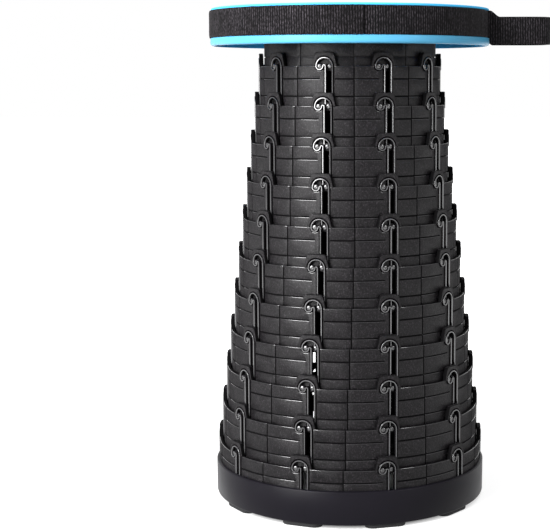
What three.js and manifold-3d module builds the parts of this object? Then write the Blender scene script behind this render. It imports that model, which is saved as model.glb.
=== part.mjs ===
// Collapsible telescopic stool: a round seat on a tower of nested rings that slide into the base.
// Millimetres, +Z up, origin on the floor under the middle of the base.
import * as THREE from 'three';
import { mergeVertices } from 'three/addons/utils/BufferGeometryUtils.js';
import Module from 'manifold-3d';

const wasm = await Module();
wasm.setup();

// Tower: rings are numbered from the seat's own ring, 0, down to the base ring
const MOVING_RINGS = 10;
const HOOKS = 10;
const TRAVEL = 34;
const WALL = 2.5;
const TAB_PROUD = 0.8;
const RING_CLEARANCE = 0.6;
const FACETS_BETWEEN_TABS = 2;

// Hook slots, tabs and pins
const PIN_DIAMETER = 3.9;
const PIN_SIDES = 4;
const PIN_CLEARANCE = 0.35;
const PIN_RECESS = 1.2;
const HOOK_REACH = 8.2;
const SLOT_ROOF = 5.2;
const TAB_FOOT_MARGIN = 4.6;
const TAB_TOP_MARGIN = 1.9;
const POCKET_SKIN = 0.9;
const POCKET_HEADROOM = 0.6;
const RING_FOOT = 1.6;
const ARCH_STEPS = 3;
const HOOK_END_STEPS = 2;

// The tabs of the upper rings stand in line, and each lower ring is turned a little further
const TAB_FRONT_ANGLE = THREE.MathUtils.degToRad(-15.5);
const RINGS_IN_LINE = 5;
const RING_TWIST = THREE.MathUtils.degToRad(-0.87);

// Base
const FOOT_THICKNESS = 3.2;
const FOOT_LENGTH = 36;
const FOOT_WIDTH = 14;
const FOOT_INSET = 2;
const FOOT_END_STEPS = 3;
const BASE_FLANGE = 3;
const BASE_FLANGE_MARGIN = 1;
const BAND_PROUD = 2.9;
const BAND_BEVEL = 1.2;
const BAND_FACETS = 40;
const NEST_GAP = 5.8;

// Seat
const SEAT_RADIUS = 125;
const SEAT_FACETS = 40;
const LID_PLATE = 3;
const LID_FLANGE = 1.8;
const LID_FLANGE_INSET = 0.7;
const LID_EDGE_ROUND = 0.7;
const RIM_ROUND = 2;
const STRAP_GROOVE_DEPTH = 2.1;
const SKIRT_WALL = 1.2;
const SKIRT_CLEARANCE = 0.8;
const SEAT_RIM_HEIGHT = 6.8;
const FOLDED_HEADROOM = 2.3;
const SEAT_REST_GAP = 1.3;

// Grip plate and finger wells in the middle of the seat
const GRIP_END = 3.3;
const GRIP_WIDTH = 53;
const GRIP_THICKNESS = 1;
const GRIP_SINK = 0.2;
const GRIP_FACETS = 28;
const WELL_DIAMETER = 25;
const WELL_SPACING = 59.4;
const WELL_DEPTH = 14;
const WELL_WALL = 1.8;
const WELL_FACETS = 16;

// Ribs, screw bosses and screws under the seat
const RIB_COUNT = 5;
const RIB_WIDTH = 2;
const RIB_DEPTH = 6;
const RIB_CLEARANCE = 2;
const HUB_DIAMETER = 16;
const SCREW_COUNT = 5;
const SCREW_SIDES = 6;
const SCREW_CIRCLE_MARGIN = 7.2;
const SCREW_SHANK = 3.3;
const SCREW_HEAD = 7.6;
const SCREW_HEAD_HEIGHT = 2.2;
const SCREW_HOLE_CLEARANCE = 0.45;
const SCREW_END_GAP = 1;
const BOSS_DIAMETER = 9;
const BOSS_HEIGHT = 8;
const TOP_FLANGE = 3;
const TOP_FLANGE_MARGIN = 7;
const WELL_CLEARANCE = 1;

// Webbing
const STRAP_WIDTH = 23.6;
const STRAP_THICKNESS = 1.3;
const STRAP_GAP = 0.4;
const STRAP_BEND = 2.2;
const STRAP_STEP = THREE.MathUtils.degToRad(7.5);
const LOOP_REACH = 57;
const LOOP_ROOT_WIDTH = 56;
const LOOP_BELLY_WIDTH = 62;
const LOOP_CORNER = 20;
const LOOP_CROWN = 2;
const LOOP_LEG_STEPS = 3;
const LOOP_CORNER_STEPS = 4;
const LOOP_END_STEPS = 4;
const BEND_STEPS = 3;
const OVERLAP_END_ANGLE = THREE.MathUtils.degToRad(275);

// Slider on the webbing
const SLIDER_ANGLE = THREE.MathUtils.degToRad(42);
const SLIDER_RAIL = 2.4;
const SLIDER_LENGTH = 20;
const SLIDER_THICKNESS = 2.4;
const SLIDER_BAR = 3;
const SLIDER_MIDDLE_BAR = 3.6;
const SLIDER_CORNER = 2;
const SLIDER_CORNER_STEPS = 2;
const TAIL_START = 4;
const TAIL_TIP = 7;
const TAIL_LIFT = 1.6;
const TAIL_RISE_LEAD = 0.9;

// Gap between pieces that touch, how far a cutter or a joining piece runs past a face, and how deep
// a piece that is moulded on is rooted in the wall that carries it
const FIT_GAP = 0.3;
const OVERRUN = 1;
const ROOT_SHARE = 1 / 4;
const MERGE_DISTANCE = 1e-4;
const SIMPLIFY_DISTANCE = 1e-3;

// Sizes that follow
const BASE_RING = MOVING_RINGS + 1;
const SECTOR = 2 * Math.PI / HOOKS;
const SLOT_HALF = PIN_DIAMETER / 2 + PIN_CLEARANCE;
const HOOK_HALF = HOOK_REACH / 2;
const ARCH_RADIUS = HOOK_HALF + SLOT_HALF;
const TAB_HEIGHT = ARCH_RADIUS + SLOT_ROOF;
const TAB_FOOT_HALF = ARCH_RADIUS + TAB_FOOT_MARGIN;
const TAB_TOP_HALF = ARCH_RADIUS + TAB_TOP_MARGIN;
const RING_PITCH = WALL + TAB_PROUD + RING_CLEARANCE;
const RING_HEIGHT = TAB_HEIGHT + TRAVEL + SLOT_HALF + RING_FOOT;
const STRAP_SEAT_RADIUS = SEAT_RADIUS - STRAP_GROOVE_DEPTH;
const SKIRT_RADIUS = STRAP_SEAT_RADIUS - SKIRT_WALL;
const BASE_APOTHEM = Math.sqrt((SKIRT_RADIUS - SKIRT_CLEARANCE) ** 2 - TAB_FOOT_HALF ** 2) - TAB_PROUD;
const BAND_RADIUS = Math.hypot(BASE_APOTHEM, TAB_FOOT_HALF) + BAND_PROUD;
const BASE_BOTTOM = FOOT_THICKNESS + FIT_GAP;
const BASE_TAB_TOP = BASE_BOTTOM + BASE_FLANGE + NEST_GAP + RING_HEIGHT;
const STRAP_GROOVE_HEIGHT = STRAP_WIDTH + 2 * FIT_GAP;
const SEAT_HEIGHT = LID_FLANGE + STRAP_GROOVE_HEIGHT + SEAT_RIM_HEIGHT;
const FOLDED_TOP = BASE_TAB_TOP + FOLDED_HEADROOM + LID_PLATE;
const BAND_TOP = FOLDED_TOP - SEAT_HEIGHT - SEAT_REST_GAP;
const SEAT_BOTTOM = BAND_TOP + SEAT_REST_GAP + BASE_RING * TRAVEL;
const SEAT_TOP = SEAT_BOTTOM + SEAT_HEIGHT;
const LID_UNDERSIDE = SEAT_TOP - LID_PLATE;
const STRAP_GROOVE_TOP = SEAT_TOP - LID_FLANGE;
const STRAP_GROOVE_BOTTOM = STRAP_GROOVE_TOP - STRAP_GROOVE_HEIGHT;
const GRIP_LENGTH = WELL_SPACING + WELL_DIAMETER + 2 * GRIP_END;
const SLIDER_HEIGHT = STRAP_WIDTH + 2 * (FIT_GAP + SLIDER_RAIL);

// The flat under a tab lies this far from the axis, and the tab's top this high
const apothem = (ring) => BASE_APOTHEM - (BASE_RING - ring) * RING_PITCH;
const tabTop = (ring) => BASE_TAB_TOP + (BASE_RING - ring) * TRAVEL;
const ringTurn = (ring) => (
  -Math.PI / 2 + TAB_FRONT_ANGLE + Math.max(0, ring - RINGS_IN_LINE) * RING_TWIST
);

// Materials
const plastic = (color, roughness) => new THREE.MeshStandardMaterial({ color, roughness, metalness: 0 });
const ringBlack = plastic(0x26262a, 0.55);
const bandBlack = plastic(0x2d2c33, 0.42);
const footBlack = plastic(0x1d1d20, 0.8);
const seatBlue = plastic(0x4bc4f7, 0.45);
const gripBlack = plastic(0x16161a, 0.7);
const webbingBlack = plastic(0x1f1c20, 0.9);
const sliderBlack = plastic(0x202024, 0.4);
const screwSteel = new THREE.MeshStandardMaterial({ color: 0x9a9ca0, roughness: 0.35, metalness: 1 });

// Closed geometry to solid, without the collapsed triangles that a lathe leaves on its axis
function toSolid(geometry, matrix = new THREE.Matrix4()) {
  const bare = geometry.clone().applyMatrix4(matrix);
  bare.deleteAttribute('normal');
  bare.deleteAttribute('uv');
  const merged = mergeVertices(bare, MERGE_DISTANCE);
  const corners = merged.index.array;
  const kept = [];
  for (let i = 0; i < corners.length; i += 3) {
    const [a, b, c] = corners.slice(i, i + 3);
    if (a !== b && b !== c && c !== a) kept.push(a, b, c);
  }
  const vertProperties = merged.attributes.position.array;
  return new wasm.Manifold(new wasm.Mesh({ numProp: 3, vertProperties, triVerts: Uint32Array.from(kept) }));
}

const join = (solids) => solids.reduce((whole, solid) => whole.add(solid));
const cut = (whole, tools) => tools.reduce((rest, tool) => rest.subtract(tool), whole);

function toMesh(name, solid, material) {
  const lean = solid.asOriginal().simplify(SIMPLIFY_DISTANCE);
  const { vertProperties, triVerts } = lean.getMesh();
  const geometry = new THREE.BufferGeometry();
  geometry.setAttribute('position', new THREE.BufferAttribute(Float32Array.from(vertProperties), 3));
  geometry.setIndex(new THREE.BufferAttribute(Uint32Array.from(triVerts), 1));
  geometry.computeVertexNormals();
  const mesh = new THREE.Mesh(geometry, material);
  mesh.name = name;
  return mesh;
}

const point = (x, y) => new THREE.Vector2(x, y);
const polar = (radius, angle) => point(radius * Math.cos(angle), radius * Math.sin(angle));
const shift = (x, y, z) => new THREE.Matrix4().makeTranslation(x, y, z);

function arc(centre, radius, from, to, steps) {
  return Array.from({ length: steps + 1 }, (_, i) => (
    polar(radius, from + (to - from) * i / steps).add(centre)
  ));
}

const circle = (radius, steps, centre = point(0, 0)) => (
  arc(centre, radius, 0, 2 * Math.PI, steps).slice(0, steps)
);

// Upright prism over a plan outline with holes
function prism(outline, holes, bottom, top) {
  const shape = new THREE.Shape(outline);
  shape.holes = holes.map((hole) => new THREE.Path(hole));
  const geometry = new THREE.ExtrudeGeometry(shape, { depth: top - bottom, bevelEnabled: false });
  return toSolid(geometry, shift(0, 0, bottom));
}

// Frame on a flat of the tower: x along the wall, y up, z out, at a distance from the axis
function wallFrame(angle, distance, along, height) {
  const outward = new THREE.Vector3(Math.cos(angle), Math.sin(angle), 0);
  const sideways = new THREE.Vector3(-Math.sin(angle), Math.cos(angle), 0);
  const frame = new THREE.Matrix4().makeBasis(sideways, new THREE.Vector3(0, 0, 1), outward);
  const place = outward.multiplyScalar(distance).addScaledVector(sideways, along);
  return frame.setPosition(place.x, place.y, height);
}

// Plate of an outline drawn on the wall, from one distance to another
function wallPlate(outline, angle, from, to, height) {
  const shape = new THREE.Shape(outline);
  const geometry = new THREE.ExtrudeGeometry(shape, { depth: to - from, bevelEnabled: false });
  return toSolid(geometry, wallFrame(angle, from, 0, height));
}

// Plan of the wall: a flat as wide as a tab at each hook, and facets between the flats
function wallPlan(distance, turn) {
  const halfFlat = Math.atan2(TAB_FOOT_HALF, distance);
  const radius = Math.hypot(TAB_FOOT_HALF, distance);
  const points = [];
  for (let hook = 0; hook < HOOKS; hook += 1) {
    const middle = turn + hook * SECTOR;
    points.push(polar(radius, middle - halfFlat));
    const between = arc(
      point(0, 0), radius, middle + halfFlat, middle + SECTOR - halfFlat, FACETS_BETWEEN_TABS,
    );
    points.push(...between.slice(0, -1));
  }
  return points;
}

const hookAngles = (turn) => Array.from({ length: HOOKS }, (_, hook) => turn + hook * SECTOR);

// Tab with sloping sides, drawn down from its top
const tabOutline = [
  point(-TAB_FOOT_HALF, -TAB_HEIGHT),
  point(TAB_FOOT_HALF, -TAB_HEIGHT),
  point(TAB_TOP_HALF, 0),
  point(-TAB_TOP_HALF, 0),
];

// Hook slot: an upright run on the right, an arch over to the left and a round end for the locked pin
const pocketTop = -TAB_HEIGHT - TRAVEL + SLOT_HALF + POCKET_HEADROOM;
const slotOutline = [
  ...arc(point(0, -TAB_HEIGHT), ARCH_RADIUS, Math.PI, 0, ARCH_STEPS),
  point(ARCH_RADIUS, pocketTop),
  point(HOOK_HALF - SLOT_HALF, pocketTop),
  point(HOOK_HALF - SLOT_HALF, -TAB_HEIGHT),
  ...arc(point(-HOOK_HALF, -TAB_HEIGHT), SLOT_HALF, 0, -Math.PI, HOOK_END_STEPS).slice(0, -1),
];

// Foot of the upright run, a pocket that is closed on the outside because the ring's own pin stands there
const pocketOutline = [
  point(HOOK_HALF - SLOT_HALF, -TAB_HEIGHT - TRAVEL - SLOT_HALF),
  point(ARCH_RADIUS, -TAB_HEIGHT - TRAVEL - SLOT_HALF),
  point(ARCH_RADIUS, pocketTop + OVERRUN),
  point(HOOK_HALF - SLOT_HALF, pocketTop + OVERRUN),
];

// Wall with its tabs and slots, which end in pockets or, on the base, run on down behind the band
function hookedWall(ring) {
  const outer = apothem(ring);
  const inner = outer - WALL;
  const top = tabTop(ring);
  const turn = ringTurn(ring);
  const wall = prism(wallPlan(outer, turn), [wallPlan(inner, turn)], top - RING_HEIGHT, top - TAB_HEIGHT);
  const tabs = hookAngles(turn).map((angle) => wallPlate(tabOutline, angle, inner, outer + TAB_PROUD, top));
  const slots = hookAngles(turn).map((angle) => (
    wallPlate(slotOutline, angle, inner - OVERRUN, outer + TAB_PROUD + OVERRUN, top)
  ));
  const skin = ring === BASE_RING ? -OVERRUN : POCKET_SKIN;
  const pockets = hookAngles(turn).map((angle) => (
    wallPlate(pocketOutline, angle, inner - OVERRUN, outer - skin, top)
  ));
  return cut(join([wall, ...tabs]), [...slots, ...pockets]);
}

// Pins round a ring's foot, each standing in the upright run of the next ring's slot
function pins(ring) {
  const root = apothem(ring) - POCKET_SKIN / 2;
  const tip = apothem(ring + 1) - PIN_RECESS;
  const length = tip - root;
  const pin = new THREE.CylinderGeometry(PIN_DIAMETER / 2, PIN_DIAMETER / 2, length, PIN_SIDES);
  pin.rotateX(Math.PI / 2);
  const height = tabTop(ring + 1) - TAB_HEIGHT;
  return hookAngles(ringTurn(ring + 1)).map((angle) => (
    toSolid(pin, wallFrame(angle, root + length / 2, HOOK_HALF, height))
  ));
}

function movingRing(ring) {
  const name = `ring_${String(ring).padStart(2, '0')}`;
  return toMesh(name, join([hookedWall(ring), ...pins(ring)]), ringBlack);
}

// Outline revolved about the axis, listed anticlockwise with the axis on its left
function revolve(outline, facets) {
  const geometry = new THREE.LatheGeometry(outline, facets);
  return toSolid(geometry, new THREE.Matrix4().makeRotationX(Math.PI / 2));
}

const revolveRing = (outline, facets) => revolve([...outline, outline[0]], facets);

// Base ring: its wall stands in a plain band and on an inward flange that carries the feet
function baseRing() {
  const turn = ringTurn(BASE_RING);
  const seam = BASE_APOTHEM - WALL * ROOT_SHARE;
  const flangeRadius = BAND_RADIUS - FOOT_INSET - FOOT_WIDTH - BASE_FLANGE_MARGIN;
  const flangeTop = BASE_BOTTOM + BASE_FLANGE;
  const band = revolveRing([
    point(flangeRadius, BASE_BOTTOM),
    point(BAND_RADIUS - BAND_BEVEL, BASE_BOTTOM),
    point(BAND_RADIUS, BASE_BOTTOM + BAND_BEVEL),
    point(BAND_RADIUS, BAND_TOP - BAND_BEVEL),
    point(BAND_RADIUS - BAND_BEVEL, BAND_TOP),
    point(seam, BAND_TOP),
    point(seam, flangeTop),
    point(flangeRadius, flangeTop),
  ], BAND_FACETS);
  const wallFoot = BASE_TAB_TOP - RING_HEIGHT;
  const skirting = prism(
    wallPlan(BASE_APOTHEM, turn), [wallPlan(BASE_APOTHEM - WALL, turn)], flangeTop - OVERRUN, wallFoot,
  );
  return toMesh('base_ring', join([hookedWall(BASE_RING), skirting, band]), bandBlack);
}

// Rubber pads with round ends, one under each tab of the base
function feet() {
  const half = FOOT_WIDTH / 2;
  const straight = FOOT_LENGTH / 2 - half;
  const middle = BAND_RADIUS - FOOT_INSET - half;
  const outline = [
    ...arc(point(0, straight), half, 0, Math.PI, FOOT_END_STEPS),
    ...arc(point(0, -straight), half, Math.PI, 2 * Math.PI, FOOT_END_STEPS),
  ];
  return hookAngles(ringTurn(BASE_RING)).map((angle, i) => {
    const placed = outline.map((p) => p.clone().add(point(middle, 0)).rotateAround(point(0, 0), angle));
    return toMesh(`foot_${String(i + 1).padStart(2, '0')}`, prism(placed, [], 0, FOOT_THICKNESS), footBlack);
  });
}

// Screws stand on a circle inside the top ring
const SCREW_CIRCLE = apothem(0) - WALL - SCREW_CIRCLE_MARGIN;
const TOP_FLANGE_TOP = LID_UNDERSIDE - BOSS_HEIGHT;
const TOP_FLANGE_BOTTOM = TOP_FLANGE_TOP - TOP_FLANGE;
const SCREW_HOLE_RADIUS = SCREW_SHANK / 2 + SCREW_HOLE_CLEARANCE;
const screwAngles = Array.from({ length: SCREW_COUNT }, (_, i) => Math.PI / 2 + 2 * Math.PI * i / SCREW_COUNT);
const screwPlaces = screwAngles.map((angle) => polar(SCREW_CIRCLE, angle));

const wellCentres = [point(WELL_SPACING / 2, 0), point(-WELL_SPACING / 2, 0)];

// Ring under the seat, whose inner flange is screwed to the seat's bosses and leaves room for its wells
function topRing() {
  const outer = apothem(0);
  const inner = outer - WALL;
  const turn = ringTurn(0);
  const foot = tabTop(0) - RING_HEIGHT;
  const wall = prism(wallPlan(outer, turn), [wallPlan(inner, turn)], foot, LID_UNDERSIDE - FIT_GAP);
  const flange = prism(
    wallPlan(inner + WALL / 2, turn),
    [circle(SCREW_CIRCLE - TOP_FLANGE_MARGIN, SEAT_FACETS)],
    TOP_FLANGE_BOTTOM,
    TOP_FLANGE_TOP,
  );
  const holes = screwPlaces.map((place) => prism(
    circle(SCREW_HOLE_RADIUS, SCREW_SIDES, place), [], TOP_FLANGE_BOTTOM - OVERRUN, TOP_FLANGE_TOP + OVERRUN,
  ));
  const wellRoom = wellCentres.map((centre) => prism(
    circle(WELL_DIAMETER / 2 + WELL_WALL + WELL_CLEARANCE, WELL_FACETS, centre),
    [],
    TOP_FLANGE_BOTTOM - OVERRUN,
    TOP_FLANGE_TOP + OVERRUN,
  ));
  return toMesh('top_ring', cut(join([wall, flange, ...pins(0)]), [...holes, ...wellRoom]), ringBlack);
}

function screws() {
  const headTop = TOP_FLANGE_BOTTOM - FIT_GAP;
  const screw = revolve([
    point(0, headTop - SCREW_HEAD_HEIGHT),
    point(SCREW_HEAD / 2, headTop - SCREW_HEAD_HEIGHT),
    point(SCREW_HEAD / 2, headTop),
    point(SCREW_SHANK / 2, headTop),
    point(SCREW_SHANK / 2, LID_UNDERSIDE - SCREW_END_GAP),
    point(0, LID_UNDERSIDE - SCREW_END_GAP),
  ], SCREW_SIDES);
  return screwPlaces.map((place, i) => toMesh(`screw_${i + 1}`, screw.translate([place.x, place.y, 0]), screwSteel));
}

// Oval of the grip plate, and of its recess with the gap round it
function oval(gap) {
  return Array.from({ length: GRIP_FACETS }, (_, i) => {
    const angle = 2 * Math.PI * i / GRIP_FACETS;
    return point((GRIP_LENGTH / 2 + gap) * Math.cos(angle), (GRIP_WIDTH / 2 + gap) * Math.sin(angle));
  });
}

function gripPlate() {
  const holes = wellCentres.map((centre) => circle(WELL_DIAMETER / 2, WELL_FACETS, centre));
  const top = SEAT_TOP - GRIP_SINK;
  return toMesh('grip_plate', prism(oval(0), holes, top - GRIP_THICKNESS, top), gripBlack);
}

// Seat: a lid with a grooved skirt, finger wells, and bosses and ribs underneath
function seatLid() {
  const flangeRadius = SEAT_RADIUS - LID_FLANGE_INSET;
  const shell = revolve([
    point(0, LID_UNDERSIDE),
    point(SKIRT_RADIUS, LID_UNDERSIDE),
    point(SKIRT_RADIUS, SEAT_BOTTOM),
    point(SEAT_RADIUS - RIM_ROUND, SEAT_BOTTOM),
    point(SEAT_RADIUS, SEAT_BOTTOM + RIM_ROUND),
    point(SEAT_RADIUS, STRAP_GROOVE_BOTTOM),
    point(STRAP_SEAT_RADIUS, STRAP_GROOVE_BOTTOM),
    point(STRAP_SEAT_RADIUS, STRAP_GROOVE_TOP),
    point(flangeRadius, STRAP_GROOVE_TOP),
    point(flangeRadius, SEAT_TOP - LID_EDGE_ROUND),
    point(flangeRadius - LID_EDGE_ROUND, SEAT_TOP),
    point(0, SEAT_TOP),
  ], SEAT_FACETS);
  const rooted = LID_UNDERSIDE + LID_PLATE * ROOT_SHARE;
  const wellFloor = SEAT_TOP - WELL_DEPTH;
  const cups = wellCentres.map((centre) => (
    prism(circle(WELL_DIAMETER / 2 + WELL_WALL, WELL_FACETS, centre), [], wellFloor - WELL_WALL, rooted)
  ));
  const wells = wellCentres.map((centre) => (
    prism(circle(WELL_DIAMETER / 2, WELL_FACETS, centre), [], wellFloor, SEAT_TOP + OVERRUN)
  ));
  const bossFoot = TOP_FLANGE_TOP + FIT_GAP;
  const bosses = screwPlaces.map((place) => (
    prism(circle(BOSS_DIAMETER / 2, SCREW_SIDES, place), [], bossFoot, rooted)
  ));
  const screwHoles = screwPlaces.map((place) => (
    prism(circle(SCREW_HOLE_RADIUS, SCREW_SIDES, place), [], bossFoot - OVERRUN, LID_UNDERSIDE)
  ));
  const ribEnd = apothem(0) - WALL - RIB_CLEARANCE;
  const ribPlan = [
    point(0, -RIB_WIDTH / 2), point(ribEnd, -RIB_WIDTH / 2), point(ribEnd, RIB_WIDTH / 2), point(0, RIB_WIDTH / 2),
  ];
  const ribs = Array.from({ length: RIB_COUNT }, (_, i) => {
    const angle = screwAngles[0] + (i + 1 / 2) * 2 * Math.PI / RIB_COUNT;
    const plan = ribPlan.map((p) => p.clone().rotateAround(point(0, 0), angle));
    return prism(plan, [], LID_UNDERSIDE - RIB_DEPTH, rooted);
  });
  const hub = prism(circle(HUB_DIAMETER / 2, 2 * RIB_COUNT), [], LID_UNDERSIDE - RIB_DEPTH, rooted);
  const recessFloor = SEAT_TOP - GRIP_SINK - GRIP_THICKNESS - FIT_GAP;
  const recess = prism(oval(FIT_GAP), [], recessFloor, SEAT_TOP + OVERRUN);
  const lid = cut(join([shell, ...cups, ...bosses, ...ribs, hub]), [recess, ...wells, ...screwHoles]);
  return toMesh('seat_lid', lid, seatBlue);
}

// Heights of the webbing in its groove, and the radii of its two layers
const STRAP_TOP = STRAP_GROOVE_TOP - FIT_GAP;
const STRAP_BOTTOM = STRAP_TOP - STRAP_WIDTH;
const STRAP_MIDDLE = (STRAP_TOP + STRAP_BOTTOM) / 2;
const FIRST_LAYER = STRAP_SEAT_RADIUS + STRAP_GAP + STRAP_THICKNESS / 2;
const SECOND_LAYER = FIRST_LAYER + STRAP_THICKNESS + FIT_GAP;
const SLIDER_BACK = SECOND_LAYER + STRAP_THICKNESS / 2 + FIT_GAP;

// Points beside a path, square to its run
function beside(path, distance, closed) {
  return path.map((p, i) => {
    const before = path[i - 1] ?? (closed ? path[path.length - 1] : p);
    const after = path[i + 1] ?? (closed ? path[0] : p);
    const inward = p.clone().sub(before).normalize();
    const outward = after.clone().sub(p).normalize();
    const run = inward.add(outward).normalize();
    const edge = (after === p ? p.clone().sub(before) : after.clone().sub(p)).normalize();
    return p.clone().add(point(run.y, -run.x).multiplyScalar(distance / run.dot(edge)));
  });
}

// Loop in plan, from its lower root to its upper one: bowed legs, round shoulders and a crowned end
function loopPath(root) {
  const tip = SEAT_RADIUS + LOOP_REACH - STRAP_THICKNESS / 2;
  const end = tip - LOOP_CROWN;
  const belly = LOOP_BELLY_WIDTH / 2;
  const corner = Math.min(LOOP_CORNER, belly);
  const shoulder = point(end - corner, belly);
  const crownStart = point(end, belly - corner);
  const leg = new THREE.QuadraticBezierCurve(root, point((root.x + shoulder.x) / 2, belly), shoulder);
  const turn = new THREE.QuadraticBezierCurve(shoulder, point(end, belly), crownStart);
  const crown = new THREE.QuadraticBezierCurve(
    point(end, -crownStart.y), point(tip + LOOP_CROWN, 0), crownStart,
  );
  const legStart = STRAP_BEND / leg.getLength();
  const upper = [
    ...Array.from({ length: LOOP_LEG_STEPS + 1 }, (_, i) => (
      leg.getPoint(legStart + (1 - legStart) * i / LOOP_LEG_STEPS)
    )),
    ...turn.getPoints(LOOP_CORNER_STEPS).slice(1),
  ];
  const lower = upper.map((p) => point(p.x, -p.y));
  return [...lower, ...crown.getPoints(LOOP_END_STEPS).slice(1, -1), ...upper.reverse()];
}

// Webbing that lies once round the seat and stands out as a loop, one closed ribbon
function webbingStrap() {
  const rootAngle = Math.asin(LOOP_ROOT_WIDTH / 2 / FIRST_LAYER);
  const root = polar(FIRST_LAYER, rootAngle);
  const lowerRoot = point(root.x, -root.y);
  const loop = loopPath(root);
  const rimStart = rootAngle + STRAP_BEND / FIRST_LAYER;
  const rimSteps = Math.round(2 * (Math.PI - rimStart) / STRAP_STEP);
  const rim = arc(point(0, 0), FIRST_LAYER, rimStart, 2 * Math.PI - rimStart, rimSteps);
  const bend = (from, to, corner) => (
    new THREE.QuadraticBezierCurve(from, corner, to).getPoints(BEND_STEPS).slice(1, -1)
  );
  const path = [
    ...loop,
    ...bend(loop[loop.length - 1], rim[0], root),
    ...rim,
    ...bend(rim[rimSteps], loop[0], lowerRoot),
  ];
  const outline = beside(path, STRAP_THICKNESS / 2, true);
  const hole = beside(path, -STRAP_THICKNESS / 2, true);
  return toMesh('webbing_strap', prism(outline, [hole], STRAP_BOTTOM, STRAP_TOP), webbingBlack);
}

function ribbon(name, path) {
  const outline = [
    ...beside(path, STRAP_THICKNESS / 2, false),
    ...beside(path, -STRAP_THICKNESS / 2, false).reverse(),
  ];
  return toMesh(name, prism(outline, [], STRAP_BOTTOM, STRAP_TOP), webbingBlack);
}

// Second layer, from under the slider's middle bar round the back to the front
function strapOverlap() {
  const start = SLIDER_ANGLE + SLIDER_MIDDLE_BAR / 2 / SECOND_LAYER;
  const steps = Math.round((OVERLAP_END_ANGLE - start) / STRAP_STEP);
  return ribbon('strap_overlap', arc(point(0, 0), SECOND_LAYER, start, OVERLAP_END_ANGLE, steps));
}

// Slider: a rounded plate with two windows
function strapSlider() {
  const halfLength = SLIDER_LENGTH / 2;
  const halfHeight = SLIDER_HEIGHT / 2;
  const corner = (x, y, from) => {
    const centre = point(x * (halfLength - SLIDER_CORNER), y * (halfHeight - SLIDER_CORNER));
    return arc(centre, SLIDER_CORNER, from, from + Math.PI / 2, SLIDER_CORNER_STEPS);
  };
  const outline = [
    ...corner(1, 1, 0),
    ...corner(-1, 1, Math.PI / 2),
    ...corner(-1, -1, Math.PI),
    ...corner(1, -1, 3 * Math.PI / 2),
  ];
  const windowHalf = STRAP_WIDTH / 2 + FIT_GAP;
  const windows = [1, -1].map((side) => {
    const near = side * SLIDER_MIDDLE_BAR / 2;
    const far = side * (halfLength - SLIDER_BAR);
    const gap = [point(near, -windowHalf), point(far, -windowHalf), point(far, windowHalf), point(near, windowHalf)];
    return wallPlate(gap, SLIDER_ANGLE, SLIDER_BACK - OVERRUN, SLIDER_BACK + SLIDER_THICKNESS + OVERRUN, STRAP_MIDDLE);
  });
  const plate = wallPlate(outline, SLIDER_ANGLE, SLIDER_BACK, SLIDER_BACK + SLIDER_THICKNESS, STRAP_MIDDLE);
  return toMesh('strap_slider', cut(plate, windows), sliderBlack);
}

// Free end: under the slider's near bar, up through the near window and out over the other bars
function strapTail() {
  const low = SECOND_LAYER;
  const high = SLIDER_BACK + SLIDER_THICKNESS + FIT_GAP + STRAP_THICKNESS / 2;
  const windowStart = -SLIDER_LENGTH / 2 + SLIDER_BAR;
  const windowEnd = -SLIDER_MIDDLE_BAR / 2;
  const run = [
    point(low, -SLIDER_LENGTH / 2 - TAIL_START),
    point(low, windowStart + TAIL_RISE_LEAD),
    point(high, windowEnd - TAIL_RISE_LEAD),
    point(high, SLIDER_LENGTH / 2),
    point(high + TAIL_LIFT, SLIDER_LENGTH / 2 + TAIL_TIP),
  ];
  return ribbon('strap_tail', run.map((p) => p.clone().rotateAround(point(0, 0), SLIDER_ANGLE)));
}

const group = new THREE.Group();
group.name = 'telescopic_stool';
group.add(baseRing());
for (let ring = MOVING_RINGS; ring > 0; ring -= 1) group.add(movingRing(ring));
group.add(topRing(), seatLid(), gripPlate(), webbingStrap(), strapOverlap(), strapTail(), strapSlider());
group.add(...screws(), ...feet());

export default group;
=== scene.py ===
# Looks of the collapsible telescopic stool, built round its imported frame
import math

import bmesh
import bpy
from mathutils import Matrix, Vector, noise
from mathutils.geometry import tessellate_polygon


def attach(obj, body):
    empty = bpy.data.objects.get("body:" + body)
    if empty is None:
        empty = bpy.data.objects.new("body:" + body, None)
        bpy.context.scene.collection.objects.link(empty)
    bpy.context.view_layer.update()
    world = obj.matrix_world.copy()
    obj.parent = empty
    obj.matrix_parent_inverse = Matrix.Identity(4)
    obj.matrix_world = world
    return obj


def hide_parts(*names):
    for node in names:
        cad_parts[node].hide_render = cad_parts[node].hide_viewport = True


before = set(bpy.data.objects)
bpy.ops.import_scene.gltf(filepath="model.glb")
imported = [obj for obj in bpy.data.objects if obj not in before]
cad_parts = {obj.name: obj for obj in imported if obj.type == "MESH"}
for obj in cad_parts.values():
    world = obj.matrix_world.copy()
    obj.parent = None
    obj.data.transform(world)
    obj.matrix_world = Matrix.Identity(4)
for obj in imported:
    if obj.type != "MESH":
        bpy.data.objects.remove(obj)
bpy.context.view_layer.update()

# Sizes are in millimetres and come to metres when a piece is made
MM = 0.001

# Shares, distances and steps that many pieces have in common
EDGE_STEPS = 4
ROUND_STEPS = 6
END_STEPS = 12
ROUND_SHARE = 0.3
MITRE_SHARE = 0.4
WELD = 1e-3
HAIR = 1e-5
POINT = 0.1
SHARP_ANGLE = 38.0
SOFT_ANGLE = 60.0

# Tower
RINGS = 10
HOOKS = 10
TRAVEL = 34.0
WALL = 2.5
TAB_PROUD = 0.8
RING_PITCH = 3.9
BASE_RADIUS = 120.0
FRONT_ANGLE = -15.5
RINGS_IN_LINE = 5
RING_TWIST = -0.87
RING_FOOT = 1.6
COLUMNS = 12

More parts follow.
